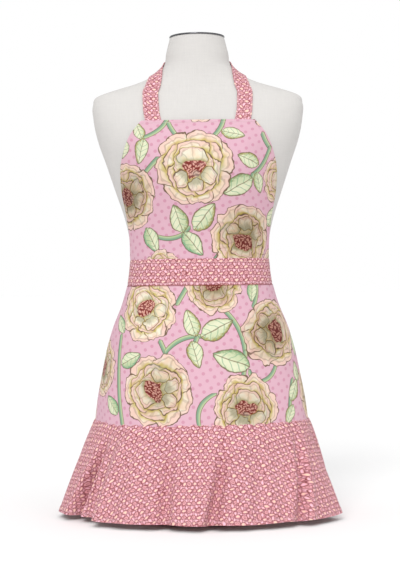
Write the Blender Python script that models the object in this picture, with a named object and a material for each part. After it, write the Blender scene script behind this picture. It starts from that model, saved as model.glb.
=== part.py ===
"""A ruffled bib apron worn by a counter-top dress form, with the form's height-adjusting stand.

Metres, +Z up, the apron's front towards -Y. The origin is the middle of the foot pad's
underside, on the surface that the stand rests on. Run it with
blender --background --python part.py, or from Blender's text editor.
"""

import math

import bmesh
import bpy
import numpy as np

MM = 0.001
GAP = 0.3 * MM  # between pieces that touch
RUN = 0.1 * MM  # between the pole and what runs on it

# ---- Dress form ----
# Levels of the form: height, half width, depth in front, depth behind, and how square the
# outline is (2 is an ellipse).
FORM_LEVELS = np.array(
    [
        (0.165, 0.1590, 0.104, 0.106, 2.3),
        (0.210, 0.1665, 0.112, 0.116, 2.3),
        (0.258, 0.1685, 0.116, 0.121, 2.3),  # hips
        (0.301, 0.1610, 0.115, 0.116, 2.3),
        (0.344, 0.1485, 0.109, 0.105, 2.3),
        (0.380, 0.1350, 0.101, 0.093, 2.2),
        (0.416, 0.1258, 0.092, 0.083, 2.2),
        (0.452, 0.1213, 0.087, 0.078, 2.2),  # waist
        (0.488, 0.1238, 0.089, 0.080, 2.2),
        (0.531, 0.1325, 0.097, 0.088, 2.2),
        (0.582, 0.1490, 0.107, 0.098, 2.3),
        (0.632, 0.1655, 0.115, 0.107, 2.4),  # bust
        (0.675, 0.1800, 0.110, 0.110, 2.6),
        (0.712, 0.1872, 0.094, 0.106, 2.9),
        (0.737, 0.1880, 0.078, 0.097, 2.9),
        (0.753, 0.1800, 0.067, 0.089, 2.7),
        (0.764, 0.1500, 0.060, 0.083, 2.4),
        (0.775, 0.1130, 0.056, 0.077, 2.2),
        (0.787, 0.0850, 0.053, 0.070, 2.1),
        (0.803, 0.0640, 0.051, 0.062, 2.0),  # foot of the neck
        (0.832, 0.0555, 0.049, 0.054, 2.0),
        (0.858, 0.0490, 0.048, 0.049, 2.0),  # top of the neck
    ]
)
FORM_BOTTOM, FORM_TOP = FORM_LEVELS[0, 0], FORM_LEVELS[-1, 0]
BUST_X, BUST_Z, BUST_DEPTH = 0.072, 0.628, 0.022
BUST_WIDE, BUST_ABOVE, BUST_BELOW, BRIDGE_BELOW = 0.050, 0.058, 0.044, 0.085
COVER_THICK = 1.2 * MM
SIDE_SEAM = 0.15  # degrees from the side seam to a half cover's edge
BOARD_TOP = FORM_BOTTOM + 12 * MM
BLOCK_BOTTOM = FORM_TOP - 25 * MM
CAP_THICK = 3 * MM
WAIST = (0.428, 0.440, 0.464, 0.476)  # more heights where the form curves inwards
NECK_FOOT = (0.772, 0.7845, 0.7995, 0.818)
COVER_HEIGHTS = np.sort(
    [*FORM_LEVELS[:, 0], *WAIST, *NECK_FOOT, BOARD_TOP, BLOCK_BOTTOM]
)
SHELL_THICK = 4 * MM
STEP = 15  # degrees between the form's columns of corners

# ---- Stand ----
PAD_R, PAD_THICK = 0.120, 2 * MM
BASE_R, BASE_THICK = 0.130, 8 * MM
BASE_BOTTOM = PAD_THICK + GAP
BASE_TOP = BASE_BOTTOM + BASE_THICK
POLE_R, POLE_FOOT_R, POLE_SHOULDER, POLE_TOP = 0.0125, 0.0160, 0.1177, 0.420
BOLT_R, BOLT_DEEP = 0.005, 0.022
COLLAR_R, COLLAR_BOTTOM, COLLAR_TOP = 0.024, 0.118, 0.150
KNOB_R, KNOB_LONG, KNOB_LOBES = 0.018, 0.020, 7
CLAMP_SCREW_R = 0.004
BUSH_R, BUSH_TOP = 0.0165, 0.250
FLANGE_R, FLANGE_THICK = 0.050, 4 * MM
SCREW_R, SCREW_CIRCLE, SCREWS, SCREW_TURN = 0.002, 0.038, 4, 5.6
ROUND = 32  # sides of the pole and of what runs on it

# ---- Apron ----
CLOTH = 1.4 * MM  # a doubled layer of cloth, with its slack
LINING = 0.9 * MM  # a single layer inside
LINING_OUT = 1.0 * MM  # from the form's cover to a lining
CLOTH_OUT = 2.3 * MM  # from the form's cover to the outer layers
BAND_BOTTOM, BAND_TOP, BAND_END = 0.412, 0.459, 116
BIB_TOP = 0.697
BIB_ROWS, FACING_ROWS = 13, 3  # rows of corners up the bib, and those that its facing has
# The bib's side edge: height, and the angle round the form from the middle front.
BIB_EDGE = np.array(
    [
        (BAND_TOP, 84.0),
        (0.495, 77.5),
        (0.540, 71.5),
        (0.580, 66.5),
        (0.619, 60.5),
        (0.645, 55.5),
        (0.677, 49.7),
        (BIB_TOP, 45.5),
    ]
)
# The inside of the skirt: as the form's levels, then the angle where its back edge hangs.
SKIRT_LEVELS = np.array(
    [
        (0.175, 0.1905, 0.149, 0.138, 2.2, 128.0),
        (0.214, 0.1850, 0.142, 0.135, 2.2, 127.0),
        (0.258, 0.1765, 0.134, 0.130, 2.2, 126.0),
        (0.301, 0.1675, 0.126, 0.121, 2.2, 124.0),
        (0.344, 0.1545, 0.117, 0.109, 2.2, 122.0),
        (0.373, 0.1425, 0.109, 0.099, 2.2, 120.0),
        (BAND_BOTTOM, 0.1290, 0.096, 0.086, 2.2, 117.0),
    ]
)
SEAM, HEM = 0.175, 0.0105
# The ruffle's hem seen from above, from one back edge round the front to the other.
HEM_ROUTE = [
    (-0.118, 0.172),
    (-0.160, 0.150),
    (-0.190, 0.112),
    (-0.238, 0.082),
    (-0.246, 0.046),
    (-0.258, 0.006),
    (-0.238, -0.040),
    (-0.202, -0.068),
    (-0.186, -0.088),
    (-0.187, -0.118),
    (-0.162, -0.138),
    (-0.110, -0.161),
    (-0.064, -0.168),
    (-0.016, -0.190),
    (0.024, -0.181),
    (0.066, -0.184),
    (0.112, -0.170),
    (0.146, -0.151),
    (0.178, -0.141),
    (0.216, -0.108),
    (0.239, -0.070),
    (0.232, -0.022),
    (0.237, 0.020),
    (0.222, 0.066),
    (0.190, 0.108),
    (0.162, 0.150),
    (0.118, 0.172),
]
STRAP_WIDE, STRAP_OUT = 0.027, 2 * MM
# The neck strap's middle line on the form, from the bib to the middle of the nape.
STRAP_ROUTE = [
    (BIB_TOP + 4.2 * MM, 37.4),
    (0.7275, 44.6),
    (0.752, 51.5),
    (0.772, 58.0),
    (0.788, 69.0),
    (0.800, 88.0),
    (0.808, 114.0),
    (0.812, 145.0),
    (0.814, 180.0),
]
TIE_WIDE, TIE_AT_KNOT, LOOP_WIDE = 0.027, 0.014, 0.020
TIE_END = 170  # degrees, where the ties reach the knot
KNOT = (0.013, 0.008, 0.016)  # half sizes of the bow's knot
KNOT_Z, KNOT_OUT = 0.431, 0.013
# A loop of the bow: out from the knot, over and back, as distance to the side, out from the
# knot's middle plane and up from its middle.
LOOP_ROUTE = [
    (0.0145, 0.000, 0.003),
    (0.040, 0.010, 0.010),
    (0.070, 0.014, 0.006),
    (0.092, 0.010, -0.010),
    (0.096, 0.002, -0.022),
    (0.084, -0.004, -0.024),
    (0.058, -0.004, -0.014),
    (0.036, -0.004, -0.004),
    (0.0155, -0.0045, 0.002),
]
# A tail of the bow: height, angle from the middle back, and distance out from the form.
TAIL_ROUTE = np.array(
    [
        (KNOT_Z - 0.018, 4.5, 0.013),
        (0.370, 8.0, 0.009),
        (0.320, 10.0, 0.006),
        (0.265, 12.5, 0.006),
        (0.215, 14.0, 0.010),
    ]
)


# ---- Shapes worked out from the tables ----
def smooth(table, at):
    """The table's rows at the given first-column values, on a smooth curve through them."""
    x, y = table[:, 0], table[:, 1:]
    steps = np.diff(x)[:, None]
    slopes = np.diff(y, axis=0) / steps
    middle = (slopes[:-1] * steps[1:] + slopes[1:] * steps[:-1]) / (steps[:-1] + steps[1:])
    tangents = np.vstack([slopes[:1], middle, slopes[-1:]])
    at = np.clip(at, x[0], x[-1])
    i = np.clip(np.searchsorted(x, at) - 1, 0, len(x) - 2)
    h = (x[i + 1] - x[i])[:, None]
    t = (at - x[i])[:, None] / h
    start, end = (1 + 2 * t) * (1 - t) ** 2, t * t * (3 - 2 * t)
    leave, arrive = t * (1 - t) ** 2 * h, t * t * (t - 1) * h
    return start * y[i] + end * y[i + 1] + leave * tangents[i] + arrive * tangents[i + 1]


def outline(levels, heights, angles):
    """Points round a levelled shape. Angles are in degrees from the middle front to +X."""
    wide, front, back, power = smooth(levels, heights.ravel())[:, :4].T
    angle = np.radians(angles.ravel())
    deep = np.where(np.cos(angle) > 0, front, back)
    reach = (np.abs(np.sin(angle) / wide) ** power + np.abs(np.cos(angle) / deep) ** power) ** (
        -1 / power
    )
    points = np.column_stack([reach * np.sin(angle), -reach * np.cos(angle), heights.ravel()])
    return points.reshape(*heights.shape, 3)


def bust(points, bridged):
    """How far the bust stands forward. Cloth bridges the dip between its two sides."""
    across = np.abs(points[..., 0]) - BUST_X
    if bridged:
        across = np.maximum(across, 0)
    above = points[..., 2] - BUST_Z
    tall = np.where(above > 0, BUST_ABOVE, BRIDGE_BELOW if bridged else BUST_BELOW)
    facing = np.clip(-points[..., 1] / 0.06, 0, 1)
    return BUST_DEPTH * facing * np.exp(-((across / BUST_WIDE) ** 2) - (above / tall) ** 2)


def form(heights, angles, out=0.0, bridged=False):
    """Points at a distance out from the form's surface, over each height and angle."""
    heights, angles = np.broadcast_arrays(
        np.asarray(heights, float), np.asarray(angles, float)
    )

    def surface(z, a):
        points = outline(FORM_LEVELS, z, a)
        points[..., 1] -= bust(points, bridged)
        return points

    low = np.maximum(heights - 1 * MM, FORM_BOTTOM)
    high = np.minimum(heights + 1 * MM, FORM_TOP)
    upwards = surface(high, angles) - surface(low, angles)
    onwards = surface(heights, angles + 1) - surface(heights, angles - 1)
    normals = np.cross(onwards, upwards)
    normals /= np.linalg.norm(normals, axis=-1, keepdims=True)
    return surface(heights, angles) + normals * np.asarray(out)[..., None]


def normals_of(points):
    """The grid's normals: along its rows crossed with up its columns."""
    normals = np.cross(np.gradient(points, axis=1), np.gradient(points, axis=0))
    return normals / np.linalg.norm(normals, axis=-1, keepdims=True)


def curve(route, count):
    """Evenly spaced points on a smooth curve through the route's points."""
    route = np.asarray(route, float)
    along = np.concatenate([[0], np.cumsum(np.linalg.norm(np.diff(route, axis=0), axis=1))])
    fine = smooth(np.column_stack([along, route]), np.linspace(0, along[-1], 20 * count))
    along = np.concatenate([[0], np.cumsum(np.linalg.norm(np.diff(fine, axis=0), axis=1))])
    even = np.linspace(0, along[-1], count)
    return np.column_stack([np.interp(even, along, column) for column in fine.T])


def strip_on_form(route, wide, out, count, across=2):
    """A grid for a strip of cloth lying on the form, along a route of heights and angles."""
    knots = np.linspace(0, 1, len(route))
    at = smooth(np.column_stack([knots, route]), np.linspace(0, 1, count))
    middle = form(at[:, 0], at[:, 1], out)
    per_height = (form(at[:, 0] + MM, at[:, 1], out) - middle) / MM
    per_angle = form(at[:, 0], at[:, 1] + 1, out) - middle
    normal = np.cross(per_angle, per_height)
    side = np.cross(normal, np.gradient(middle, axis=0))
    side *= wide / 2 / np.linalg.norm(side, axis=1, keepdims=True)
    rows = []
    for share in np.linspace(-1, 1, across + 1):
        heights, angles = at.T.copy()
        for i, wanted in enumerate(side * share):
            step = np.column_stack([per_height[i], per_angle[i]])
            change = np.linalg.lstsq(step, wanted, rcond=None)[0]
            heights[i] += change[0]
            angles[i] += change[1]
        rows.append((heights, angles))
    heights, angles = (np.array(part) for part in zip(*rows))
    return form(heights, angles, out), form(heights, angles, out + CLOTH)


# ---- Blender helpers ----
def clear_scene():
    for thing in list(bpy.data.objects):
        bpy.data.objects.remove(thing)


def material(name, colour, roughness, metallic=0.0):
    made = bpy.data.materials.new(name)
    made.use_nodes = True
    shader = made.node_tree.nodes["Principled BSDF"]
    shader.inputs["Base Color"].default_value = (*colour, 1)
    shader.inputs["Roughness"].default_value = roughness
    shader.inputs["Metallic"].default_value = metallic
    return made


def add(name, bm, finish, place=(0, 0, 0)):
    """Turns a bmesh into a named object, smooth except at its sharp corners."""
    bmesh.ops.recalc_face_normals(bm, faces=bm.faces)
    mesh = bpy.data.meshes.new(name)
    bm.to_mesh(mesh)
    bm.free()
    mesh.materials.append(finish)
    mesh.shade_smooth()
    mesh.set_sharp_from_angle(angle=math.radians(35))
    thing = bpy.data.objects.new(name, mesh)
    thing.location = place
    bpy.context.scene.collection.objects.link(thing)
    return thing


def solid(name, rings, finish, place=(0, 0, 0)):
    """A body skinned over rings of points. It ends in single points, or joins up as a hoop."""
    bm = bmesh.new()
    made = [[bm.verts.new(point) for point in np.atleast_2d(ring)] for ring in rings]
    pairs = list(zip(made, made[1:]))
    if len(made[0]) > 1:
        pairs.append((made[-1], made[0]))
    count = max(len(ring) for ring in made)
    for low, high in pairs:
        for i in range(count):
            j = (i + 1) % count
            corners = [low[i % len(low)], low[j % len(low)]]
            corners += [high[j % len(high)], high[i % len(high)]]
            bm.faces.new(list(dict.fromkeys(corners)))
    return add(name, bm, finish, place)


def sheet(name, inner, outer, finish):
    """A closed sheet of cloth between an inner and an outer grid of points."""
    rows, columns = inner.shape[:2]
    bm = bmesh.new()
    near = [[bm.verts.new(point) for point in row] for row in inner]
    far = [[bm.verts.new(point) for point in row] for row in outer]
    for side in (near, far):
        for i in range(rows - 1):
            for j in range(columns - 1):
                bm.faces.new((side[i][j], side[i][j + 1], side[i + 1][j + 1], side[i + 1][j]))
    rim = [(0, j) for j in range(columns)]
    rim += [(i, columns - 1) for i in range(1, rows)]
    rim += [(rows - 1, j) for j in range(columns - 2, -1, -1)]
    rim += [(i, 0) for i in range(rows - 2, 0, -1)]
    for (i, j), (k, m) in zip(rim, rim[1:] + rim[:1]):
        bm.faces.new((near[i][j], near[k][m], far[k][m], far[i][j]))
    return add(name, bm, finish)


def spun(profile, sides=40, lobes=0, lobe_deep=0.0):
    """Rings for a profile of (radius, height) points turned round Z."""
    turn = np.linspace(0, 2 * math.pi, sides, endpoint=False)
    rings = []
    for radius, height in profile:
        if radius == 0:
            rings.append(np.array([(0, 0, height)]))
            continue
        edge = radius - lobe_deep * (1 - np.cos(lobes * turn)) / 2
        rings.append(
            np.column_stack([edge * np.cos(turn), edge * np.sin(turn), np.full(sides, height)])
        )
    return rings


def to_the_back(rings):
    """Rings round Z laid over so that their top points to +Y."""
    return [ring[:, [0, 2, 1]] * (1, 1, -1) for ring in rings]


def cut(things, cutter):
    """Cuts one shape out of several pieces."""
    cutter.hide_render = True
    cutter.display_type = "WIRE"
    for thing in things:
        hole = thing.modifiers.new("hole", "BOOLEAN")
        hole.operation = "DIFFERENCE"
        hole.solver = "EXACT"
        hole.object = cutter


# ---- Stand ----
def make_base(steel, chrome, rubber):
    """The foot pad, base plate, pole and the bolt that holds them together."""
    solid("foot_pad", spun([(0, 0), (PAD_R, 0), (PAD_R, PAD_THICK), (0, PAD_THICK)], 36), rubber)
    recess = BASE_BOTTOM + 5 * MM
    plate = [
        (BOLT_R + GAP, recess),
        (0.0115, recess),
        (0.0115, BASE_BOTTOM),
        (BASE_R - 1 * MM, BASE_BOTTOM),
        (BASE_R, BASE_BOTTOM + 1 * MM),
        (BASE_R, BASE_TOP - 2 * MM),
        (BASE_R - 2 * MM, BASE_TOP),
        (BOLT_R + GAP, BASE_TOP),
    ]
    solid("base_plate", spun(plate, 36), steel)
    head_bottom, head_top = BASE_BOTTOM + 0.5 * MM, recess - GAP
    bolt_top = BASE_TOP + BOLT_DEEP
    bolt = [
        (0, head_bottom),
        (0.009, head_bottom),
        (0.009, head_top),
        (BOLT_R, head_top),
        (BOLT_R, bolt_top),
        (0, bolt_top),
    ]
    solid("base_bolt", spun(bolt, 16), chrome)
    foot = BASE_TOP + GAP
    pole = [
        (0, bolt_top + 2 * MM),
        (BOLT_R + GAP, bolt_top + 2 * MM),
        (BOLT_R + GAP, foot),
        (0.030, foot),
        (0.030, foot + 3 * MM),
        (POLE_FOOT_R + 2 * MM, foot + 6 * MM),
        (POLE_FOOT_R, foot + 10 * MM),
        (POLE_FOOT_R, POLE_SHOULDER),
        (POLE_R, POLE_SHOULDER),
        (POLE_R, POLE_TOP - 2 * MM),
        (POLE_R - 2 * MM, POLE_TOP),
        (0, POLE_TOP),
    ]
    solid("pole", spun(pole, ROUND), chrome)


def make_clamp(plastic, chrome):
    """The collar that slides on the pole, and its clamp knob with the knob's screw."""
    bore = POLE_R + RUN
    ring = [
        (bore, COLLAR_BOTTOM),
        (COLLAR_R - 2 * MM, COLLAR_BOTTOM),
        (COLLAR_R, COLLAR_BOTTOM + 2 * MM),
        (COLLAR_R, COLLAR_TOP - 2 * MM),
        (COLLAR_R - 2 * MM, COLLAR_TOP),
        (bore, COLLAR_TOP),
    ]
    collar = solid("clamp_collar", spun(ring, ROUND), plastic)
    centre = (0, COLLAR_R, (COLLAR_BOTTOM + COLLAR_TOP) / 2)
    reach = COLLAR_R - bore
    socket = 8 * MM  # how far the screw goes into the knob
    knob = [
        (0, 1 * MM + socket),
        (CLAMP_SCREW_R + GAP, 1 * MM + socket),
        (CLAMP_SCREW_R + GAP, 1 * MM),
        (0.010, 1 * MM),
        (0.010, 5 * MM),
        (KNOB_R - 1 * MM, 6 * MM),
        (KNOB_R, 8 * MM),
        (KNOB_R, KNOB_LONG - 2 * MM),
        (KNOB_R - 3 * MM, KNOB_LONG),
        (0, KNOB_LONG),
    ]
    sides = 4 * KNOB_LOBES
    rings = spun(knob, sides)
    for i in range(5, 9):
        rings[i] = spun([knob[i]], sides, KNOB_LOBES, 3 * MM)[0]
    solid("clamp_knob", to_the_back(rings), plastic, centre)
    top = socket + 1 * MM - GAP
    screw = [(0, -reach), (CLAMP_SCREW_R, -reach), (CLAMP_SCREW_R, top), (0, top)]
    solid("clamp_screw", to_the_back(spun(screw, 20)), chrome, centre)
    wide, low, high = CLAMP_SCREW_R + GAP, -reach - 5 * MM, 5 * MM
    hole = spun([(0, low), (wide, low), (wide, high), (0, high)], 20)
    cut([collar], solid("clamp_hole_cutter", to_the_back(hole), chrome, centre))


# ---- Dress form ----
def form_ring(height, out):
    return form(np.full(360 // STEP, height), np.arange(0, 360, STEP), out)


def round_ring(radius, height):
    return spun([(radius, height)], 360 // STEP)[0][:, [1, 0, 2]] * (1, -1, 1)


def make_torso(pulp, wood, chrome):
    """The moulded torso shell, the board under it, the neck block and the metal neck cap."""
    inside = -COVER_THICK - GAP
    low, high = BOARD_TOP + GAP, BLOCK_BOTTOM - GAP
    levels = [z for z in COVER_HEIGHTS if low + 1 * MM < z < high - 1 * MM]
    rings = [form_ring(z, inside) for z in (low, *levels, high)]
    rings += [form_ring(z, inside - SHELL_THICK) for z in (high, *levels[::-1], low)]
    solid("torso_shell", rings, pulp)

    low = FORM_BOTTOM
    hole = BUSH_R + GAP
    rings = [round_ring(hole, low), form_ring(low, inside), form_ring(BOARD_TOP, inside)]
    board = solid("base_board", [*rings, round_ring(hole, BOARD_TOP)], wood)

    hole, depth = SCREW_R + GAP, FORM_TOP - 18 * MM
    rings = [form_ring(z, inside) for z in (BLOCK_BOTTOM, FORM_TOP)]
    rings += [round_ring(hole, FORM_TOP), round_ring(hole, depth), (0, 0, depth)]
    solid("neck_block", [(0, 0, BLOCK_BOTTOM), *rings], wood)

    low = FORM_TOP + GAP
    top = low + CAP_THICK
    rings = [round_ring(hole, low), form_ring(FORM_TOP, -1 * MM), form_ring(FORM_TOP, 0)]
    rings += [form_ring(FORM_TOP, 0), form_ring(FORM_TOP, -1.2 * MM), round_ring(hole, top)]
    for ring, height in zip(rings, (low, low, low + 0.8 * MM, top - 1.2 * MM, top, top)):
        ring[:, 2] = height
    solid("neck_cap", rings, chrome)
    head, tip = top + GAP, depth + 2 * MM
    screw = [(0, tip), (SCREW_R, tip), (SCREW_R, head), (0.0055, head)]
    screw += [(0.0045, head + 1.8 * MM), (0, head + 2.6 * MM)]
    solid("neck_screw", spun(screw, 20), chrome)
    return board


def make_cover(linen):
    """The linen cover: a front and a back, with a seam up each side."""
    levels = COVER_HEIGHTS[:, None]
    for name, start in (("cover_front", -90), ("cover_back", 90)):
        angles = np.arange(start, start + 180 + STEP, STEP, dtype=float)[None, :]
        angles[0, 0] += SIDE_SEAM
        angles[0, -1] -= SIDE_SEAM
        sheet(name, form(levels, angles, -COVER_THICK), form(levels, angles), linen)


def make_bush(steel, chrome, board):
    """The flanged bush that the form turns on, and the screws that hold it to the board."""
    low, flange = COLLAR_TOP + GAP, FORM_BOTTOM - GAP - FLANGE_THICK
    bush = [
        (POLE_R + RUN, low),
        (0.021, low),
        (0.021, flange),
        (FLANGE_R, flange),
        (FLANGE_R, flange + FLANGE_THICK),
        (BUSH_R, flange + FLANGE_THICK),
        (BUSH_R, BUSH_TOP),
        (POLE_R + RUN, BUSH_TOP),
    ]
    sleeve = solid("pole_bush", spun(bush, ROUND), steel)
    head, tip = flange - GAP, BOARD_TOP - 2 * MM
    screw = [(0, head - 2.4 * MM), (0.003, head - 2.2 * MM), (0.004, head)]
    screw += [(SCREW_R, head), (SCREW_R, tip), (0, tip)]
    wide = SCREW_R + GAP
    hole = [(0, flange - 1 * MM), (wide, flange - 1 * MM), (wide, tip + GAP), (0, tip + GAP)]
    for i in range(SCREWS):
        turn = math.radians(SCREW_TURN + 360 * i / SCREWS)
        place = (SCREW_CIRCLE * math.cos(turn), SCREW_CIRCLE * math.sin(turn), 0)
        solid(f"bush_screw_{i + 1}", spun(screw, 12), chrome, place)
        cut([sleeve, board], solid(f"screw_hole_cutter_{i + 1}", spun(hole, 12), chrome, place))


# ---- Apron ----
def make_bib(roses):
    """The bib and the facing behind its top edge."""
    rows = np.linspace(BAND_TOP + GAP, BIB_TOP, BIB_ROWS)
    share = np.linspace(-1, 1, 19)[None, :]
    for name, first, out, thick, narrower in (
        ("bib", 0, CLOTH_OUT, CLOTH, 1),
        ("bib_facing", -FACING_ROWS, LINING_OUT, LINING, 0.995),
    ):
        angles = smooth(BIB_EDGE, rows[first:]) * share * narrower
        heights = rows[first:, None]
        inner = form(heights, angles, out, True)
        sheet(name, inner, form(heights, angles, out + thick, True), roses)


def make_waistband(small_print):
    """The waistband and the facing inside it."""
    heights = np.linspace(BAND_BOTTOM, BAND_TOP, 4)[:, None]
    angles = np.linspace(-BAND_END, BAND_END, 23)[None, :]
    for name, out, thick in (
        ("waistband", CLOTH_OUT, CLOTH),
        ("waistband_facing", LINING_OUT, LINING),
    ):
        inner = form(heights, angles, out, True)
        sheet(name, inner, form(heights, angles, out + thick, True), small_print)


def make_skirt(roses, small_print):
    """The skirt, and the gathered ruffle that hangs from its lower edge."""
    rows = np.linspace(SEAM + GAP, BAND_BOTTOM - GAP, 7)
    share = np.linspace(-1, 1, 25)[None, :]
    angles = smooth(SKIRT_LEVELS, rows)[:, 4:] * share
    heights = np.broadcast_to(rows[:, None], angles.shape)
    inner = outline(SKIRT_LEVELS, heights, angles)
    sheet("skirt", inner, inner + normals_of(inner) * CLOTH, roses)

    across, down = 55, 5
    edge = SKIRT_LEVELS[0, -1] * np.linspace(-1, 1, across)
    top = outline(SKIRT_LEVELS, np.full(across, SEAM), edge)
    hem = np.column_stack([curve(HEM_ROUTE, across), np.full(across, HEM)])
    fall = np.linspace(0, 1, down)[:, None, None]
    spread = 0.35 * fall + 0.65 * fall**0.7
    inner = top * (1 - spread) + hem * spread
    inner[..., 2] = (SEAM - GAP) * (1 - fall[..., 0]) + HEM * fall[..., 0]
    inner = inner[::-1]
    sheet("ruffle", inner, inner + normals_of(inner) * CLOTH, small_print)


def make_neck_strap(small_print):
    """The strap from one corner of the bib, round the nape, to the other corner."""
    there = [(height, angle) for height, angle in STRAP_ROUTE]
    back = [(height, 360 - angle) for height, angle in STRAP_ROUTE[-2::-1]]
    inner, outer = strip_on_form(there + back, STRAP_WIDE, STRAP_OUT, 33)
    sheet("neck_strap", inner, outer, small_print)


def bow_point(side, across, out, up):
    """A point given from the middle of the bow's knot."""
    back = form(np.array([KNOT_Z]), np.array([180.0]))[0, 1]
    return (side * across, back + KNOT_OUT + out, KNOT_Z + up)


def band_sheet(name, route, widths, finish, count):
    """A strip of cloth along a route; widths gives half of it as a vector at each end."""
    middle = curve(route, count)
    share = np.linspace(0, 1, count)[:, None]
    half = np.array(widths[0]) * (1 - share) + np.array(widths[1]) * share
    points = np.stack([middle - half, middle, middle + half])
    lift = normals_of(points) * CLOTH / 2
    sheet(name, points - lift, points + lift, finish)


def make_ties(small_print):
    """The two ties, from the ends of the waistband to the bow at the middle back."""
    rows = np.linspace(-1, 1, 4)[:, None]
    along = np.linspace(0, 1, 9)[None, :]
    middle = (BAND_BOTTOM + BAND_TOP) / 2 * (1 - along) + KNOT_Z * along
    half = TIE_WIDE / 2 * (1 - along) + TIE_AT_KNOT / 2 * along
    out = LINING_OUT + 4 * MM * along
    turn = (BAND_END + 0.4) * (1 - along) + TIE_END * along
    for name, side in (("left", 1), ("right", -1)):
        place = middle + half * rows, side * turn + 0 * rows
        sheet(f"tie_{name}", form(*place, out), form(*place, out + CLOTH), small_print)


def make_bow(small_print):
    """The bow's knot, with a loop and a tail on each side."""
    heights, turn, out = TAIL_ROUTE.T
    upright = [(0, 0, LOOP_WIDE / 2)] * 2
    for name, side in (("left", 1), ("right", -1)):
        loop = [bow_point(side, *at) for at in LOOP_ROUTE]
        band_sheet(f"bow_loop_{name}", loop, upright, small_print, 22)
        tail = form(heights, side * (180 - turn), out)
        flat = [(TIE_AT_KNOT / 3, 0, 0), (TIE_WIDE / 2, 0, 0)]
        band_sheet(f"bow_tail_{name}", tail, flat, small_print, 12)
    turn = np.radians(np.arange(0, 360, 20))
    centre = np.array(bow_point(1, 0, 0, 0))
    rings = [centre - (0, 0, KNOT[2])]
    for tilt in np.radians((-60, -30, 0, 30, 60)):
        wide = np.column_stack([np.cos(turn), np.sin(turn), np.zeros_like(turn)]) * math.cos(tilt)
        rings.append(centre + (wide + (0, 0, math.sin(tilt))) * KNOT)
    solid("bow_knot", [*rings, centre + (0, 0, KNOT[2])], small_print)


def main():
    clear_scene()
    steel = material("base_steel", (0.05, 0.05, 0.055), 0.45, 0.6)
    chrome = material("bright_steel", (0.75, 0.75, 0.77), 0.18, 1.0)
    rubber = material("foot_rubber", (0.03, 0.03, 0.03), 0.8)
    plastic = material("clamp_plastic", (0.04, 0.04, 0.045), 0.5)
    pulp = material("torso_pulp", (0.62, 0.52, 0.40), 0.9)
    wood = material("board_wood", (0.62, 0.45, 0.28), 0.7)
    linen = material("form_linen", (0.84, 0.83, 0.80), 0.9)
    roses = material("rose_print", (0.80, 0.48, 0.50), 0.85)
    small_print = material("small_print", (0.70, 0.36, 0.40), 0.85)

    make_base(steel, chrome, rubber)
    make_clamp(plastic, chrome)
    board = make_torso(pulp, wood, chrome)
    make_bush(steel, chrome, board)
    make_cover(linen)
    make_bib(roses)
    make_waistband(small_print)
    make_skirt(roses, small_print)
    make_neck_strap(small_print)
    make_ties(small_print)
    make_bow(small_print)


main()
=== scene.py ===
"""The looks of a ruffled bib apron that a linen dress form wears on its counter-top stand.

The cloth is built from the same formulas as the CAD model, on fine grids, with its hems, seams,
folds and gathers. Both prints are patterns worked out in the shaders, in metres across and up the
cloth, so they run round the body as real cloth does.
"""

import math

import bmesh
import bpy
import numpy as np
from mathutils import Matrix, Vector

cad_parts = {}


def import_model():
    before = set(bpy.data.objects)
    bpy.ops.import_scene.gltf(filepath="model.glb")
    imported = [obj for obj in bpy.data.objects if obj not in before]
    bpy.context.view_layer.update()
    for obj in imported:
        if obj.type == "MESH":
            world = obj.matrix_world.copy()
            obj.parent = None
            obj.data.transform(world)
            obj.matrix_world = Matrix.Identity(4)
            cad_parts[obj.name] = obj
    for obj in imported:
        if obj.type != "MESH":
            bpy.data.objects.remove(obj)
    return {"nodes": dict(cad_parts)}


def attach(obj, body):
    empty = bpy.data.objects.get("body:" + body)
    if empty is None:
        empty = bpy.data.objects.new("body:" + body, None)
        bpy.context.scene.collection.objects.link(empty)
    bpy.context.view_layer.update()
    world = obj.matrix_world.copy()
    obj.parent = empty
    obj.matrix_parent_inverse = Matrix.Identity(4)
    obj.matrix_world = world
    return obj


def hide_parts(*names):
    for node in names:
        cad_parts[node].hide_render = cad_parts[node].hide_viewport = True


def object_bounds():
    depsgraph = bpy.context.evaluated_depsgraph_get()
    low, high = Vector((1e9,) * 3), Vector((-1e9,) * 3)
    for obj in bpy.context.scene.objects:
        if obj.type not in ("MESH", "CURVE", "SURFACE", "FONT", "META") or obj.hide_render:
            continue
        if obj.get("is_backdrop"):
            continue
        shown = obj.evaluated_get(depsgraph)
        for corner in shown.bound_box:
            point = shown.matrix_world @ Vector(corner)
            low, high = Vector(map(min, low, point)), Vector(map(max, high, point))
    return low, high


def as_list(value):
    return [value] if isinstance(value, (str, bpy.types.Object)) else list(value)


MM = 0.001

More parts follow.
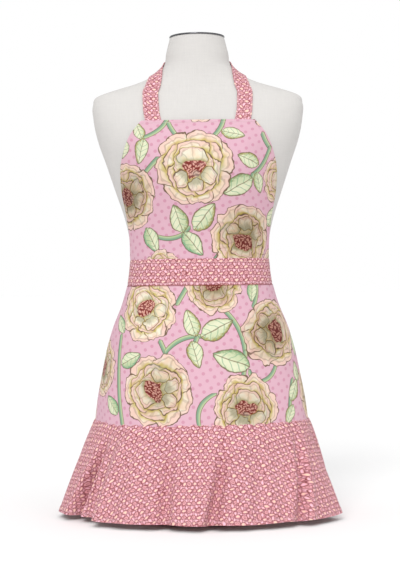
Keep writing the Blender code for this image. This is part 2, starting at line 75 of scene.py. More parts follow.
# ---- Sizes repeated from the CAD model ----
# Levels of the form: height, half width, depth in front, depth behind, squareness.
FORM_LEVELS = np.array([
    (0.165, 0.1590, 0.104, 0.106, 2.3),
    (0.210, 0.1665, 0.112, 0.116, 2.3),
    (0.258, 0.1685, 0.116, 0.121, 2.3),  # hips
    (0.301, 0.1610, 0.115, 0.116, 2.3),
    (0.344, 0.1485, 0.109, 0.105, 2.3),
    (0.380, 0.1350, 0.101, 0.093, 2.2),
    (0.416, 0.1258, 0.092, 0.083, 2.2),
    (0.452, 0.1213, 0.087, 0.078, 2.2),  # waist
    (0.488, 0.1238, 0.089, 0.080, 2.2),
    (0.531, 0.1325, 0.097, 0.088, 2.2),
    (0.582, 0.1490, 0.107, 0.098, 2.3),
    (0.632, 0.1655, 0.115, 0.107, 2.4),  # bust
    (0.675, 0.1800, 0.110, 0.110, 2.6),
    (0.712, 0.1872, 0.094, 0.106, 2.9),
    (0.737, 0.1880, 0.078, 0.097, 2.9),
    (0.753, 0.1800, 0.067, 0.089, 2.7),
    (0.764, 0.1500, 0.060, 0.083, 2.4),
    (0.775, 0.1130, 0.056, 0.077, 2.2),
    (0.787, 0.0850, 0.053, 0.070, 2.1),
    (0.803, 0.0640, 0.051, 0.062, 2.0),  # foot of the neck
    (0.832, 0.0555, 0.049, 0.054, 2.0),
    (0.858, 0.0490, 0.048, 0.049, 2.0),  # top of the neck
])
FORM_BOTTOM, FORM_TOP = FORM_LEVELS[0, 0], FORM_LEVELS[-1, 0]
BUST_X, BUST_Z, BUST_DEPTH = 0.072, 0.628, 0.022
BUST_WIDE, BUST_ABOVE, BUST_BELOW, BRIDGE_BELOW = 0.050, 0.058, 0.044, 0.085
BUST_SIDE = 0.06  # how far forward of the middle the form has its whole bust
BAND_BOTTOM, BAND_TOP, BAND_END = 0.412, 0.459, 116
BIB_TOP = 0.697
# The bib's side edge: height, and the angle round the form from the middle front.
BIB_EDGE = np.array([
    (BAND_TOP, 84.0), (0.495, 77.5), (0.540, 71.5), (0.580, 66.5),
    (0.619, 60.5), (0.645, 55.5), (0.677, 49.7), (BIB_TOP, 45.5),
])
# The inside of the skirt: as the form's levels, then the angle where its back edge hangs.
SKIRT_LEVELS = np.array([
    (0.175, 0.1905, 0.149, 0.138, 2.2, 128.0), (0.214, 0.1850, 0.142, 0.135, 2.2, 127.0),
    (0.258, 0.1765, 0.134, 0.130, 2.2, 126.0), (0.301, 0.1675, 0.126, 0.121, 2.2, 124.0),
    (0.344, 0.1545, 0.117, 0.109, 2.2, 122.0), (0.373, 0.1425, 0.109, 0.099, 2.2, 120.0),
    (BAND_BOTTOM, 0.1290, 0.096, 0.086, 2.2, 117.0),
])
SEAM, HEM = 0.175, 0.0105
# The ruffle's hem seen from above, from one back edge round the front to the other.
HEM_ROUTE = [
    (-0.118, 0.172), (-0.160, 0.150), (-0.190, 0.112), (-0.238, 0.082), (-0.246, 0.046),
    (-0.258, 0.006), (-0.238, -0.040), (-0.202, -0.068), (-0.186, -0.088), (-0.187, -0.118),
    (-0.162, -0.138), (-0.110, -0.161), (-0.064, -0.168), (-0.016, -0.190), (0.024, -0.181),
    (0.066, -0.184), (0.112, -0.170), (0.146, -0.151), (0.178, -0.141), (0.216, -0.108),
    (0.239, -0.070), (0.232, -0.022), (0.237, 0.020), (0.222, 0.066), (0.190, 0.108),
    (0.162, 0.150), (0.118, 0.172),
]
STRAP_WIDE = 0.027
# The neck strap's middle line on the form: height and angle, from behind the bib to the nape.
STRAP_ROUTE = [
    (BIB_TOP - 0.008, 36.0), (0.7275, 44.6), (0.752, 51.5), (0.772, 58.0), (0.788, 69.0),
    (0.800, 88.0), (0.808, 114.0), (0.812, 145.0), (0.814, 180.0),
]
TIE_WIDE, TIE_AT_KNOT = 0.027, 0.014
TIE_END = 170
KNOT = np.array((0.013, 0.008, 0.016))
KNOT_Z, KNOT_OUT = 0.431, 0.013
# A loop of the bow, from the knot's middle: to the side, out from the back, and up.
LOOP_ROUTE = [
    (0.0145, 0.000, 0.003), (0.040, 0.010, 0.010), (0.070, 0.014, 0.006),
    (0.092, 0.010, -0.010), (0.096, 0.002, -0.022), (0.084, -0.004, -0.024),
    (0.058, -0.004, -0.014), (0.036, -0.004, -0.004), (0.0155, -0.0045, 0.002),
]
# A tail of the bow: height, angle from the middle back, and distance out from the form.
TAIL_ROUTE = np.array([
    (KNOT_Z - 0.018, 4.5, 0.013), (0.370, 8.0, 0.009), (0.320, 10.0, 0.006),
    (0.265, 12.5, 0.006), (0.215, 14.0, 0.010),
])

# ---- Cloth ----
THICK = 0.9 * MM
STRAP_THICK, TIE_THICK = 1.3 * MM, 1.2 * MM
COVER_TUCK = 0.8 * MM  # how far the form's cover draws in under the neck cap
BIB_LAP, SKIRT_LAP = 6 * MM, 2 * MM  # how far each goes behind the cloth that it is sewn to
HEM_WIDE, HEM_EXTRA = 0.010, 0.7 * MM  # a folded hem and the thickness that it adds
CLOTH_OUT = 2.2 * MM  # from the form's cover to the apron's body
STITCH = 3.0 * MM  # from one topstitch to the next
STITCH_IN = 0.6 * HEM_WIDE  # from the edge to the topstitches of a wide hem
NARROW_IN = 2.2 * MM  # and of a strap or a tie
# Folds of the skirt: angle from the middle front, width in degrees, and how far out.
SKIRT_FOLDS = [
    (-104, 10, 0.004), (-74, 9, -0.003), (-40, 10, 0.002), (-12, 8, -0.0015), (14, 9, 0.002),
    (46, 9, -0.002), (70, 10, 0.003), (98, 9, -0.003), (120, 8, 0.003),
]
# Valleys of the ruffle: where each is along the seam and along the hem, from 0 to 1, then its
# half width in the same measure and its depth.
RUFFLE_FOLDS = [
    (0.060, 0.060, 0.010, 0.010), (0.150, 0.135, 0.011, 0.013), (0.283, 0.259, 0.0095, 0.018),
    (0.355, 0.355, 0.014, 0.005), (0.436, 0.445, 0.011, 0.010), (0.558, 0.518, 0.010, 0.014),
    (0.620, 0.590, 0.014, 0.005), (0.725, 0.657, 0.0095, 0.016), (0.800, 0.770, 0.011, 0.010),
    (0.880, 0.890, 0.010, 0.013), (0.950, 0.950, 0.010, 0.009),
]

# ---- The rose print, in metres across and up each panel of cloth ----
# A rose: across, up, size (to the outer petals' tips), turn in degrees, and how far its heart
# leans along its turn.
BIB_ROSES = [
    (-0.007, 0.169, 0.066, 5, 0.02), (-0.135, 0.120, 0.060, 70, 0.12),
    (0.081, 0.050, 0.058, 172, 0.30), (0.004, 0.305, 0.046, 200, 0.10),
    (0.128, 0.275, 0.036, 60, 0.10), (0.170, 0.149, 0.045, 90, 0.10),
    (-0.068, -0.014, 0.035, 30, 0.10), (0.165, -0.020, 0.048, 250, 0.10),
]
# A leaf: across, up (its middle), length, turn in degrees, and how green it is from 0 to 1.
BIB_LEAVES = [
    (-0.101, 0.201, 0.048, 252, 0.05), (-0.137, 0.207, 0.036, 245, 0.60),
    (-0.103, 0.240, 0.036, 105, 0.10), (0.060, 0.231, 0.042, -15, 0.15),
    (0.088, 0.183, 0.044, 160, 0.20), (0.068, 0.137, 0.062, 210, 0.40),
    (0.109, 0.143, 0.038, 283, 0.30), (-0.036, 0.078, 0.054, 107, 0.35),
    (0.009, 0.081, 0.060, 53, 0.15), (-0.011, 0.033, 0.052, 309, 0.75),
    (-0.086, 0.041, 0.050, 296, 0.98), (0.150, 0.085, 0.046, 60, 0.30),
]
# A stem: where it starts, where it ends, and how far its middle bows to the left of its way.
BIB_STEMS = [
    ((-0.051, 0.268), (-0.098, 0.225), 0.009), ((-0.051, 0.254), (-0.030, 0.218), -0.002),
    ((0.045, 0.268), (0.026, 0.225), 0.004), ((0.113, 0.232), (0.131, 0.206), -0.002),
    ((0.131, 0.206), (0.096, 0.158), 0.007), ((0.096, 0.158), (0.090, 0.142), 0.0),
    ((-0.070, 0.186), (-0.110, 0.148), 0.0), ((-0.072, 0.046), (-0.028, 0.050), -0.005),
    ((-0.028, 0.050), (-0.018, 0.062), 0.0), ((0.046, 0.042), (0.020, -0.002), 0.004),
]
SKIRT_ROSES = [
    (-0.095, -0.048, 0.055, 24, 0.22), (0.025, -0.002, 0.048, 180, 0.05),
    (0.126, -0.090, 0.060, 286, 0.36), (-0.071, -0.184, 0.061, 110, 0.20),
    (0.077, -0.219, 0.058, 350, 0.06), (-0.216, -0.150, 0.050, 40, 0.10),
    (0.252, -0.190, 0.056, 220, 0.15), (-0.230, -0.020, 0.050, 140, 0.10),
    (0.245, -0.040, 0.054, 20, 0.20), (-0.300, -0.230, 0.048, 300, 0.10),
]
SKIRT_LEAVES = [
    (-0.016, -0.068, 0.050, 108, 0.05), (0.028, -0.079, 0.062, 27, 0.15),
    (-0.009, -0.123, 0.048, 285, 0.10), (0.052, -0.134, 0.068, 160, 0.45),
    (-0.127, -0.132, 0.046, 25, 0.80), (-0.170, -0.212, 0.044, 135, 0.90),
    (0.094, -0.014, 0.036, 265, 0.80), (0.180, -0.190, 0.042, 60, 0.25),
    (0.166, -0.232, 0.036, 240, 0.30), (0.192, -0.158, 0.036, 100, 0.30),
    (-0.158, -0.070, 0.040, 130, 0.50), (0.206, -0.108, 0.048, 80, 0.50),
    (-0.262, -0.086, 0.050, 60, 0.40), (0.292, -0.110, 0.050, 120, 0.40),
]
SKIRT_STEMS = [
    ((-0.018, 0.004), (-0.040, -0.034), 0.0), ((0.034, -0.040), (0.077, -0.122), 0.010),
    ((0.077, -0.120), (0.068, -0.186), 0.002), ((0.104, 0.002), (0.096, -0.040), 0.003),
    ((-0.070, -0.100), (-0.060, -0.122), 0.0), ((-0.060, -0.118), (0.002, -0.092), 0.009),
    ((-0.006, -0.094), (-0.012, -0.108), 0.0), ((-0.153, -0.090), (-0.143, -0.245), -0.006),
    ((0.022, -0.192), (-0.004, -0.246), -0.012), ((0.138, -0.142), (0.106, -0.172), 0.007),
    ((0.106, -0.172), (0.084, -0.154), 0.004), ((0.176, -0.172), (0.166, -0.250), -0.004),
]

# The petals behind a rose's heart and in front of it, from the outermost in. Each is the
# distance of its middle from the heart, the way it points, half its length and half its width.
BACK_PETALS = [
    (0.56, 10, 0.44, 0.50), (0.60, 125, 0.42, 0.44), (0.56, 66, 0.45, 0.48), (0.58, 232, 0.44, 0.46),
    (0.60, 180, 0.38, 0.42), (0.58, 310, 0.43, 0.50), (0.66, 272, 0.32, 0.36), (0.38, 30, 0.38, 0.42),
    (0.40, 150, 0.37, 0.42), (0.38, 340, 0.36, 0.36), (0.38, 205, 0.36, 0.36), (0.38, 255, 0.36, 0.40),
    (0.38, 295, 0.34, 0.36), (0.36, 90, 0.38, 0.44), (0.22, 15, 0.28, 0.32), (0.22, 165, 0.28, 0.32),
    (0.27, 90, 0.25, 0.36),
]
FRONT_PETALS = [
    (0.47, 214, 0.18, 0.22), (0.47, 326, 0.18, 0.22), (0.46, 270, 0.16, 0.24),
]

# ---- Colours, linear ----
PINK, DOT = (0.67, 0.42, 0.50), (0.57, 0.27, 0.36)
WHITE, CREAM = (0.79, 0.74, 0.60), (0.76, 0.66, 0.42)
PEACH, BLUSH = (0.78, 0.58, 0.46), (0.74, 0.45, 0.43)
GREY, SAGE = (0.40, 0.38, 0.25), (0.42, 0.50, 0.40)
# The brown at the start of the next line multiplies the roses with painted shade.
SHADE_BROWN, MAUVE = (0.50, 0.43, 0.37), (0.17, 0.11, 0.07)
GOLD, OLIVE = (0.50, 0.40, 0.09), (0.30, 0.26, 0.07)
STAMEN, STAMEN_LIGHT = (0.20, 0.03, 0.025), (0.74, 0.40, 0.32)
LEAF_PALE, LEAF_MID, LEAF_GREEN = (0.70, 0.71, 0.51), (0.44, 0.53, 0.30), (0.15, 0.34, 0.20)
LEAF_LINE, STEM_GREEN = (0.17, 0.12, 0.06), (0.19, 0.32, 0.22)
ROSE, ROSE_PALE, WINE = (0.66, 0.28, 0.34), (0.84, 0.51, 0.59), (0.20, 0.03, 0.03)
OVAL_CREAM, OVAL_PINK, OVAL_ROSE = (0.88, 0.64, 0.49), (0.85, 0.53, 0.64), (0.76, 0.38, 0.41)
ROSE_THREAD, SMALL_THREAD = (0.80, 0.56, 0.58), (0.86, 0.55, 0.57)
LINEN_DARK, LINEN_LIGHT = (0.585, 0.567, 0.55), (0.67, 0.65, 0.625)
WOOD_DARK, WOOD_LIGHT = (0.42, 0.28, 0.15), (0.66, 0.50, 0.32)
FLOOR_LIGHT, FLOOR_DARK = (0.97, 0.97, 0.97), (0.94, 0.94, 0.94)
CLOTH_LOOK = {"Sheen Weight": 0.1, "Sheen Roughness": 0.5, "Specular IOR Level": 0.2}

# ---- The small print ----
LATTICE = (0.0184, 0.0222)  # twice the step from one shape to the next, across and up
# A shape: its place, turn in degrees, half sizes, colour, and whether it has a ring inside.
LITTLE_SHAPES = [
    ((0.0092, 0.0004), 20, (0.0032, 0.0030), OVAL_ROSE, True),
    ((0.0046, 0.0053), 40, (0.0026, 0.0020), OVAL_PINK, False),
    ((-0.0046, 0.0049), 112, (0.0034, 0.0021), OVAL_PINK, False),
    ((0.0, 0.0), 26, (0.0037, 0.0024), OVAL_CREAM, False),
]

# ---- The stand's turned pieces: outlines of (radius, height) ----
PAD = [(0, 0), (0.120, 0), (0.120, 0.002), (0, 0.002)]
PLATE = [
    (0.0053, 0.0073), (0.0115, 0.0073), (0.0115, 0.0023), (0.129, 0.0023), (0.130, 0.0033),
    (0.130, 0.0083), (0.128, 0.0103), (0.0053, 0.0103),
]
POLE = [
    (0, 0.0343), (0.0053, 0.0343), (0.0053, 0.0106), (0.030, 0.0106), (0.030, 0.0136),
    (0.0225, 0.0150), (0.0180, 0.0166), (0.0160, 0.0206), (0.0160, 0.1177), (0.0125, 0.1177),
    (0.0125, 0.418), (0.0105, 0.420), (0, 0.420),
]
COLLAR = [
    (0.0126, 0.118), (0.022, 0.118), (0.024, 0.120), (0.024, 0.148), (0.022, 0.150),
    (0.0126, 0.150),
]
BUSH = [
    (0.0126, 0.1503), (0.021, 0.1503), (0.021, 0.1607), (0.050, 0.1607), (0.050, 0.1647),
    (0.0165, 0.1647), (0.0165, 0.250), (0.0126, 0.250),
]
KNOB = [
    (0, 0.009), (0.0043, 0.009), (0.0043, 0.001), (0.010, 0.001), (0.010, 0.005),
    (0.017, 0.006), (0.018, 0.008), (0.018, 0.018), (0.015, 0.020), (0, 0.020),
]
KNOB_RIM = (5, 6, 7, 8)  # the points of the knob's outline that have lobes
KNOB_LOBES, LOBE_DEEP = 7, 3 * MM
KNOB_PLACE = (0, 0.024, 0.134)
CAP_MIDDLE = (0.05, 3.4 * MM)  # the top of the neck cap: its size by the neck's, and its height
# The rim of the neck cap, in mm: above the form's top, and out from its neck.
CAP_RIM = [(0.3, -2.0), (0.3, 0.2), (0.8, 0.7), (1.8, 0.8), (2.8, 0.3), (3.2, -1.0), (3.3, -6.0)]

# ---- Lights and camera ----
FLOOR_WIDE, SKY = 200, 0.55
# Broad, soft lights: strength, width, and how far each is turned down and round.
LIGHTS = {
    "key_light": (1.60, 30, 54, -13),
    "fill_light": (0.30, 60, 62, 40),
    "top_light": (0.65, 70, 4, 0),
}
CAMERA_PLACE, LENS, CAMERA_ROLL = (0, -2.6, 0.407), 90, 0.7


# ---- Shapes worked out from the tables ----
def smooth(table, at):
    """The table's rows at the given first-column values, on a smooth curve through them."""
    x, y = table[:, 0], table[:, 1:]
    steps = np.diff(x)[:, None]
    slopes = np.diff(y, axis=0) / steps
    middle = (slopes[:-1] * steps[1:] + slopes[1:] * steps[:-1]) / (steps[:-1] + steps[1:])
    tangents = np.vstack([slopes[:1], middle, slopes[-1:]])
    at = np.clip(at, x[0], x[-1])
    i = np.clip(np.searchsorted(x, at) - 1, 0, len(x) - 2)
    h = (x[i + 1] - x[i])[:, None]
    t = (at - x[i])[:, None] / h
    start, end = (1 + 2 * t) * (1 - t) ** 2, t * t * (3 - 2 * t)
    leave, arrive = t * (1 - t) ** 2 * h, t * t * (t - 1) * h
    return start * y[i] + end * y[i + 1] + leave * tangents[i] + arrive * tangents[i + 1]


def smooth_route(route, count):
    """Points on a smooth curve through the route's points, as many from each to the next."""
    knots = np.linspace(0, 1, len(route))
    return smooth(np.column_stack([knots, route]), np.linspace(0, 1, count))


def even_route(route, count):
    """Evenly spaced points on a smooth curve through the route's points."""
    route = np.asarray(route, float)
    along = lengths_along(route)
    fine = smooth(np.column_stack([along, route]), np.linspace(0, along[-1], 20 * count))
    along = lengths_along(fine)
    even = np.linspace(0, along[-1], count)
    return np.column_stack([np.interp(even, along, column) for column in fine.T])


def lengths_along(points):
    """The distance from the first point to each one, along the line that they make."""
    steps = np.linalg.norm(np.diff(points, axis=0), axis=-1)
    return np.concatenate([np.zeros((1, *steps.shape[1:])), np.cumsum(steps, axis=0)])


def hump(distance, wide):
    """1 at no distance, falling away smoothly over a width."""
    return np.exp(-((distance / wide) ** 2))


def soft_step(low, high, value):
    """0 at low and 1 at high, with a smooth change between. low may be the larger."""
    t = np.clip((value - low) / (high - low), 0, 1)
    return t * t * (3 - 2 * t)


def outline(levels, heights, angles):
    """Points round a levelled shape. Angles are in degrees from the middle front to +X."""
    wide, front, back, power = smooth(levels, heights.ravel())[:, :4].T
    turn = np.radians(angles.ravel())
    across, forward = np.sin(turn), np.cos(turn)
    deep = np.where(forward > 0, front, back)
    reach = (np.abs(across / wide) ** power + np.abs(forward / deep) ** power) ** (-1 / power)
    points = np.column_stack([reach * across, -reach * forward, heights.ravel()])
    return points.reshape(*heights.shape, 3)


def bust(points, bridged):
    """How far the bust stands forward. Cloth bridges the dip between its two sides."""
    across = np.abs(points[..., 0]) - BUST_X
    if bridged:
        across = np.maximum(across, 0)
    above = points[..., 2] - BUST_Z
    tall = np.where(above > 0, BUST_ABOVE, BRIDGE_BELOW if bridged else BUST_BELOW)
    facing = np.clip(-points[..., 1] / BUST_SIDE, 0, 1)
    return BUST_DEPTH * facing * np.exp(-((across / BUST_WIDE) ** 2) - (above / tall) ** 2)


def form(heights, angles, out=0.0, bridged=False):
    """Points at a distance out from the form's surface, over each height and angle."""
    heights, angles = np.broadcast_arrays(heights, angles)

    def surface(z, a):
        points = outline(FORM_LEVELS, z, a)
        points[..., 1] -= bust(points, bridged)
        return points

    low = np.maximum(heights - 1 * MM, FORM_BOTTOM)
    high = np.minimum(heights + 1 * MM, FORM_TOP)
    upwards = surface(high, angles) - surface(low, angles)
    onwards = surface(heights, angles + 1) - surface(heights, angles - 1)
    normals = np.cross(onwards, upwards)
    normals /= np.linalg.norm(normals, axis=-1, keepdims=True)
    return surface(heights, angles) + normals * np.asarray(out)[..., None]


def strip_on_form(route, wide, out, count, across=9):
    """A grid for a strip of cloth on the form, along a route of heights and angles."""
    at = smooth_route(route, count)
    middle = form(at[:, 0], at[:, 1], out)
    per_height = (form(at[:, 0] + MM, at[:, 1], out) - middle) / MM
    per_angle = form(at[:, 0], at[:, 1] + 1, out) - middle
    side = np.cross(np.cross(per_angle, per_height), np.gradient(middle, axis=0))
    side *= wide / 2 / np.linalg.norm(side, axis=1, keepdims=True)
    rows = []
    for share in np.linspace(-1, 1, across):
        moved = at.copy()
        for i, wanted in enumerate(side * share):
            step = np.column_stack([per_height[i], per_angle[i]])
            moved[i] += np.linalg.lstsq(step, wanted, rcond=None)[0]
        rows.append(form(moved[:, 0], moved[:, 1], out))
    return np.array(rows)


# ---- Grids of points ----
def pushed(points, out):
    """The grid's points moved out along its normals: its rows crossed with its columns."""
    normals = np.cross(np.gradient(points, axis=1), np.gradient(points, axis=0))
    normals /= np.linalg.norm(normals, axis=-1, keepdims=True)
    return points + normals * np.broadcast_to(out, points.shape[:2])[..., None]


def area(points):
    """The area of a grid of points."""
    across = np.diff(points, axis=1)[:-1]
    up = np.diff(points, axis=0)[:, :-1]
    return float(np.linalg.norm(np.cross(across, up), axis=-1).sum())


def cloth_places(points, upwards=True):
    """Each grid point's place in flat cloth: across from the middle column, and up."""
    across = lengths_along(points.swapaxes(0, 1)).T
    across = across - across[:, points.shape[1] // 2, None]
    up = lengths_along(points[:, points.shape[1] // 2])
    up = up if upwards else up - up[-1]
    return np.dstack([across, np.broadcast_to(up[:, None], across.shape)])


def hem_places(points, sides):
    """Each grid point's distance from the nearest stitched edge, and its place along it.
    sides says which edges are stitched: bottom, top, first column and last column."""
    across = lengths_along(points.swapaxes(0, 1)).T
    up = lengths_along(points)
    distances = np.array([up, up[-1] - up, across, across[:, -1:] - across])[sides]
    along = np.array([across, across, up, up])[sides]
    nearest_edge = distances.argmin(axis=0)[None]
    place = np.take_along_axis(along, nearest_edge, axis=0)[0]
    return np.dstack([distances.min(axis=0), place])


def narrow_hem(points, sides):
    """The same for a strap or a tie, whose stitches run nearer the edge."""
    return hem_places(points, sides) + (STITCH_IN - NARROW_IN, 0)


def hemmed(hem):
    """The thickness of a sheet with folded hems."""
    return THICK + HEM_EXTRA * soft_step(HEM_WIDE + 1.5 * MM, HEM_WIDE - 1.5 * MM, hem[..., 0])


# ---- Meshes ----
def add_object(name, mesh, finish, sharp):
    """A smooth-shaded object whose edges are sharp over an angle in degrees."""
    mesh.materials.append(finish)
    mesh.shade_smooth()
    mesh.set_sharp_from_angle(angle=math.radians(sharp))
    thing = bpy.data.objects.new(name, mesh)
    bpy.context.scene.collection.objects.link(thing)
    return thing


def add_mesh(name, points, faces, finish, fields, sharp=50):
    """An object from points and faces. Fields are vectors stored at its points for shaders."""
    mesh = bpy.data.meshes.new(name)
    mesh.from_pydata(points.reshape(-1, 3).tolist(), [], faces)
    for key, values in fields.items():
        stored = mesh.attributes.new(key, "FLOAT_VECTOR", "POINT")
        stored.data.foreach_set("vector", np.ascontiguousarray(values, dtype=np.float32).ravel())
    return add_object(name, mesh, finish, sharp)


def grid_faces(index):
    """Quads over a grid of point numbers."""
    corners = index[:-1, :-1], index[:-1, 1:], index[1:, 1:], index[1:, :-1]
    return np.stack(corners, axis=-1).reshape(-1, 4)


def closed_faces(rows, columns):
    """Faces over a grid whose rows are rings, with its first and last ring filled."""
    index = np.arange(rows * columns).reshape(rows, columns)
    around = grid_faces(np.column_stack([index, index[:, 0]]))
    return [*around.tolist(), index[0, ::-1].tolist(), index[-1].tolist()]


def sheet(name, inner, thick, finish, **fields):
    """A closed sheet of cloth from its inner face and its thickness. Fields are two numbers
    for each of its points: its place in the cloth, and its place from a hem."""
    rows, columns = inner.shape[:2]
    count = rows * columns
    index = np.arange(count).reshape(rows, columns)
    rim = np.concatenate([index[0], index[1:, -1], index[-1, -2::-1], index[-2:0:-1, 0]])
    after = np.roll(rim, -1)
    wall = np.stack([rim, after, after + count, rim + count], axis=-1)
    faces = np.concatenate([grid_faces(index)[:, ::-1], grid_faces(index + count), wall])
    both = np.concatenate([inner, pushed(inner, thick)])
    stored = {
        key: np.tile(np.dstack([pair, np.zeros((rows, columns))]), (2, 1, 1))
        for key, pair in fields.items()
    }
    return add_mesh(name, both, faces.tolist(), finish, stored)


def turned(name, profile, finish, sides=96, bevel=0.6 * MM, lobed=()):
    """A profile of (radius, height) points turned round Z, with its corners rounded. lobed
    says which of its points have lobes."""
    turn = np.linspace(0, 2 * math.pi, sides, endpoint=False)
    bm = bmesh.new()
    rings = []
    for i, (radius, height) in enumerate(profile):
        if radius == 0:
            rings.append([bm.verts.new((0, 0, height))] * sides)
            continue
        dip = LOBE_DEEP * (1 - np.cos(KNOB_LOBES * turn)) / 2 if i in lobed else 0
        ring = zip((radius - dip) * np.cos(turn), (radius - dip) * np.sin(turn))
        rings.append([bm.verts.new((x, y, height)) for x, y in ring])
    pairs = list(zip(rings, rings[1:]))
    if profile[0][0] > 0:
        pairs.append((rings[-1], rings[0]))
    for low, high in pairs:
        for i in range(sides):
            j = (i + 1) % sides
            bm.faces.new(list(dict.fromkeys((low[i], low[j], high[j], high[i]))))
    bmesh.ops.recalc_face_normals(bm, faces=bm.faces)
    mesh = bpy.data.meshes.new(name)
    bm.to_mesh(mesh)
    bm.free()
    thing = add_object(name, mesh, finish, sharp=60)
    rounding = thing.modifiers.new("rounding", "BEVEL")
    rounding.width = bevel
    rounding.segments = 3
    rounding.limit_method = "ANGLE"
    rounding.angle_limit = math.radians(30)
    return thing


def seat(piece, body, slot, *nodes):
    """Rides a piece on a body, in place of CAD nodes."""
    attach(piece, body)
    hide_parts(*nodes)


# ---- Formulas in shaders ----
def operator(operation, swapped=False):
    """A method of Num that feeds the number, and others with it, to a Math node."""

    def apply(self, *others):
        values = (*others, self) if swapped else (self, *others)
        made = self.graph.node("ShaderNodeMath", enumerate(values), operation=operation)
        return Num(self.graph, made.outputs[0])

    return apply


class Num:
    """A number in a shader, so that a pattern can be written as a formula."""

    def __init__(self, graph, socket):
        self.graph = graph
        self.socket = socket

    __add__ = __radd__ = operator("ADD")
    __mul__ = __rmul__ = operator("MULTIPLY")
    __sub__ = operator("SUBTRACT")
    __rsub__ = operator("SUBTRACT", swapped=True)
    __truediv__ = operator("DIVIDE")
    __rtruediv__ = operator("DIVIDE", swapped=True)
    __pow__ = operator("POWER")
    __lt__ = operator("LESS_THAN")
    __abs__ = operator("ABSOLUTE")
    least = operator("MINIMUM")
    most = operator("MAXIMUM")
    fract = operator("FRACT")
    sine = operator("SINE")

    def step(self, low, high):
        """0 at low and 1 at high, with a smooth change between. low may be the larger."""
        given = {"Value": self, "From Min": low, "From Max": high}
        made = self.graph.node("ShaderNodeMapRange", given, interpolation_type="SMOOTHSTEP")
        return Num(self.graph, made.outputs["Result"])

    def line(self, width):
        """1 within half a width of 0, with soft edges."""
        return 1 - abs(self).step(width * 0.35, width * 0.65)


# A Mix node's first input and its output, for each kind of value.
MIX_SOCKETS = {"FLOAT": (2, 0), "VECTOR": (4, 1), "RGBA": (6, 2)}


class Graph:
    """A node tree, and the formulas that are built in it."""

    def __init__(self, tree):
        self.tree = tree

    def node(self, kind, inputs=(), **settings):
        """A node with these settings, and these values for inputs by name or number."""
        made = self.tree.nodes.new(kind)
        for key, value in settings.items():
            setattr(made, key, value)
        for key, value in dict(inputs).items():
            self.put(value, made.inputs[key])
        return made

    def put(self, value, socket):
        """Feeds a number, vector or colour into a node's socket."""
        if isinstance(value, Num):
            value = value.socket
        if isinstance(value, bpy.types.NodeSocket):
            self.tree.links.new(value, socket)
        elif isinstance(value, tuple) and len(value) == 3 and socket.type == "RGBA":
            socket.default_value = (*value, 1)
        else:
            socket.default_value = value

    def blend(self, kind, share, a, b, **settings):
        """a where share is 0, and b where it is 1."""
        first, result = MIX_SOCKETS[kind]
        given = {0: share, first: a, first + 1: b}
        return self.node("ShaderNodeMix", given, data_type=kind, **settings).outputs[result]

    def painted(self, colour, *layers):
        """A colour under layers of (share, colour), from the lowest up."""
        for share, over in layers:
            colour = self.blend("RGBA", share, colour, over)
        return colour

    def parts(self, vector):
        """A vector's first two numbers."""
        made = self.node("ShaderNodeSeparateXYZ", {0: vector})
        return Num(self, made.outputs[0]), Num(self, made.outputs[1])

    def joined(self, x, y, z=0.0):
        """A vector of three numbers."""
        return self.node("ShaderNodeCombineXYZ", enumerate((x, y, z))).outputs[0]

    def vectors(self, operation, *values):
        """The result of a Vector Math node."""
        return self.node("ShaderNodeVectorMath", enumerate(values), operation=operation).outputs[0]

    def length(self, vector):
        """The vector's length."""
        made = self.node("ShaderNodeVectorMath", {0: vector}, operation="LENGTH")
        return Num(self, made.outputs["Value"])

    def field(self, name):
        """A vector stored at the mesh's points."""
        return self.node("ShaderNodeAttribute", attribute_name=name).outputs["Vector"]

    def position(self):
        """The place in the object's own frame."""
        return self.node("ShaderNodeTexCoord").outputs["Object"]

    def seen_from(self, vector, place, spin, scale):
        """The vector seen from a place, in turned and scaled axes. spin is in radians."""
        given = enumerate((vector, place, spin, scale))
        return self.node("ShaderNodeMapping", given, vector_type="TEXTURE").outputs[0]

    def local(self, vector, place, turn=0.0, scale=(1.0, 1.0)):
        """The same in the plane: a place, a turn in degrees and a scale across and up."""
        return self.seen_from(vector, (*place, 0), (0, 0, math.radians(turn)), (*scale, 1))

    def noise(self, vector, scale, detail=2.0, stretch=(1.0, 1.0, 1.0)):
        """Smooth noise about 0, from -1 to 1."""
        seen = self.vectors("MULTIPLY", vector, stretch)
        made = self.node("ShaderNodeTexNoise", {"Vector": seen, "Scale": scale, "Detail": detail})
        return (Num(self, made.outputs["Fac"]) - 0.5) * 2

    def warp(self, vector, scale, amount, seed=0.0):
        """The vector pushed about smoothly, so that what is drawn from it wavers."""
        seen = self.vectors("ADD", vector, self.joined(0.0, 0.0, seed))
        made = self.node("ShaderNodeTexNoise", {"Vector": seen, "Scale": scale, "Detail": 1.0})
        span, shift = (2 * amount, 2 * amount, 0), (-amount, -amount, 0)
        push = self.vectors("MULTIPLY_ADD", made.outputs["Color"], span, shift)
        return self.vectors("ADD", vector, push)

    def staggered(self, vector, place):
        """The vector from the nearest point of a staggered lattice that starts at a place."""
        x, y = self.parts(vector)
        x, y = (x - place[0]) / LATTICE[0], (y - place[1]) / LATTICE[1]
        rise = (x + y + 0.5).fract() - 0.5
        fall = (x - y + 0.5).fract() - 0.5
        return self.joined((rise + fall) * (LATTICE[0] / 2), (rise - fall) * (LATTICE[1] / 2))

    def cells(self, vector, scale, jitter):
        """The distance from the middle of the nearest of many cells."""
        given = {"Vector": vector, "Scale": scale, "Randomness": jitter}
        made = self.node("ShaderNodeTexVoronoi", given, voronoi_dimensions="2D", feature="F1")
        return Num(self, made.outputs["Distance"])

    def use(self, group, *values):
        """The output of a group that is given these values."""
        return self.node("ShaderNodeGroup", enumerate(values), node_tree=group).outputs[0]


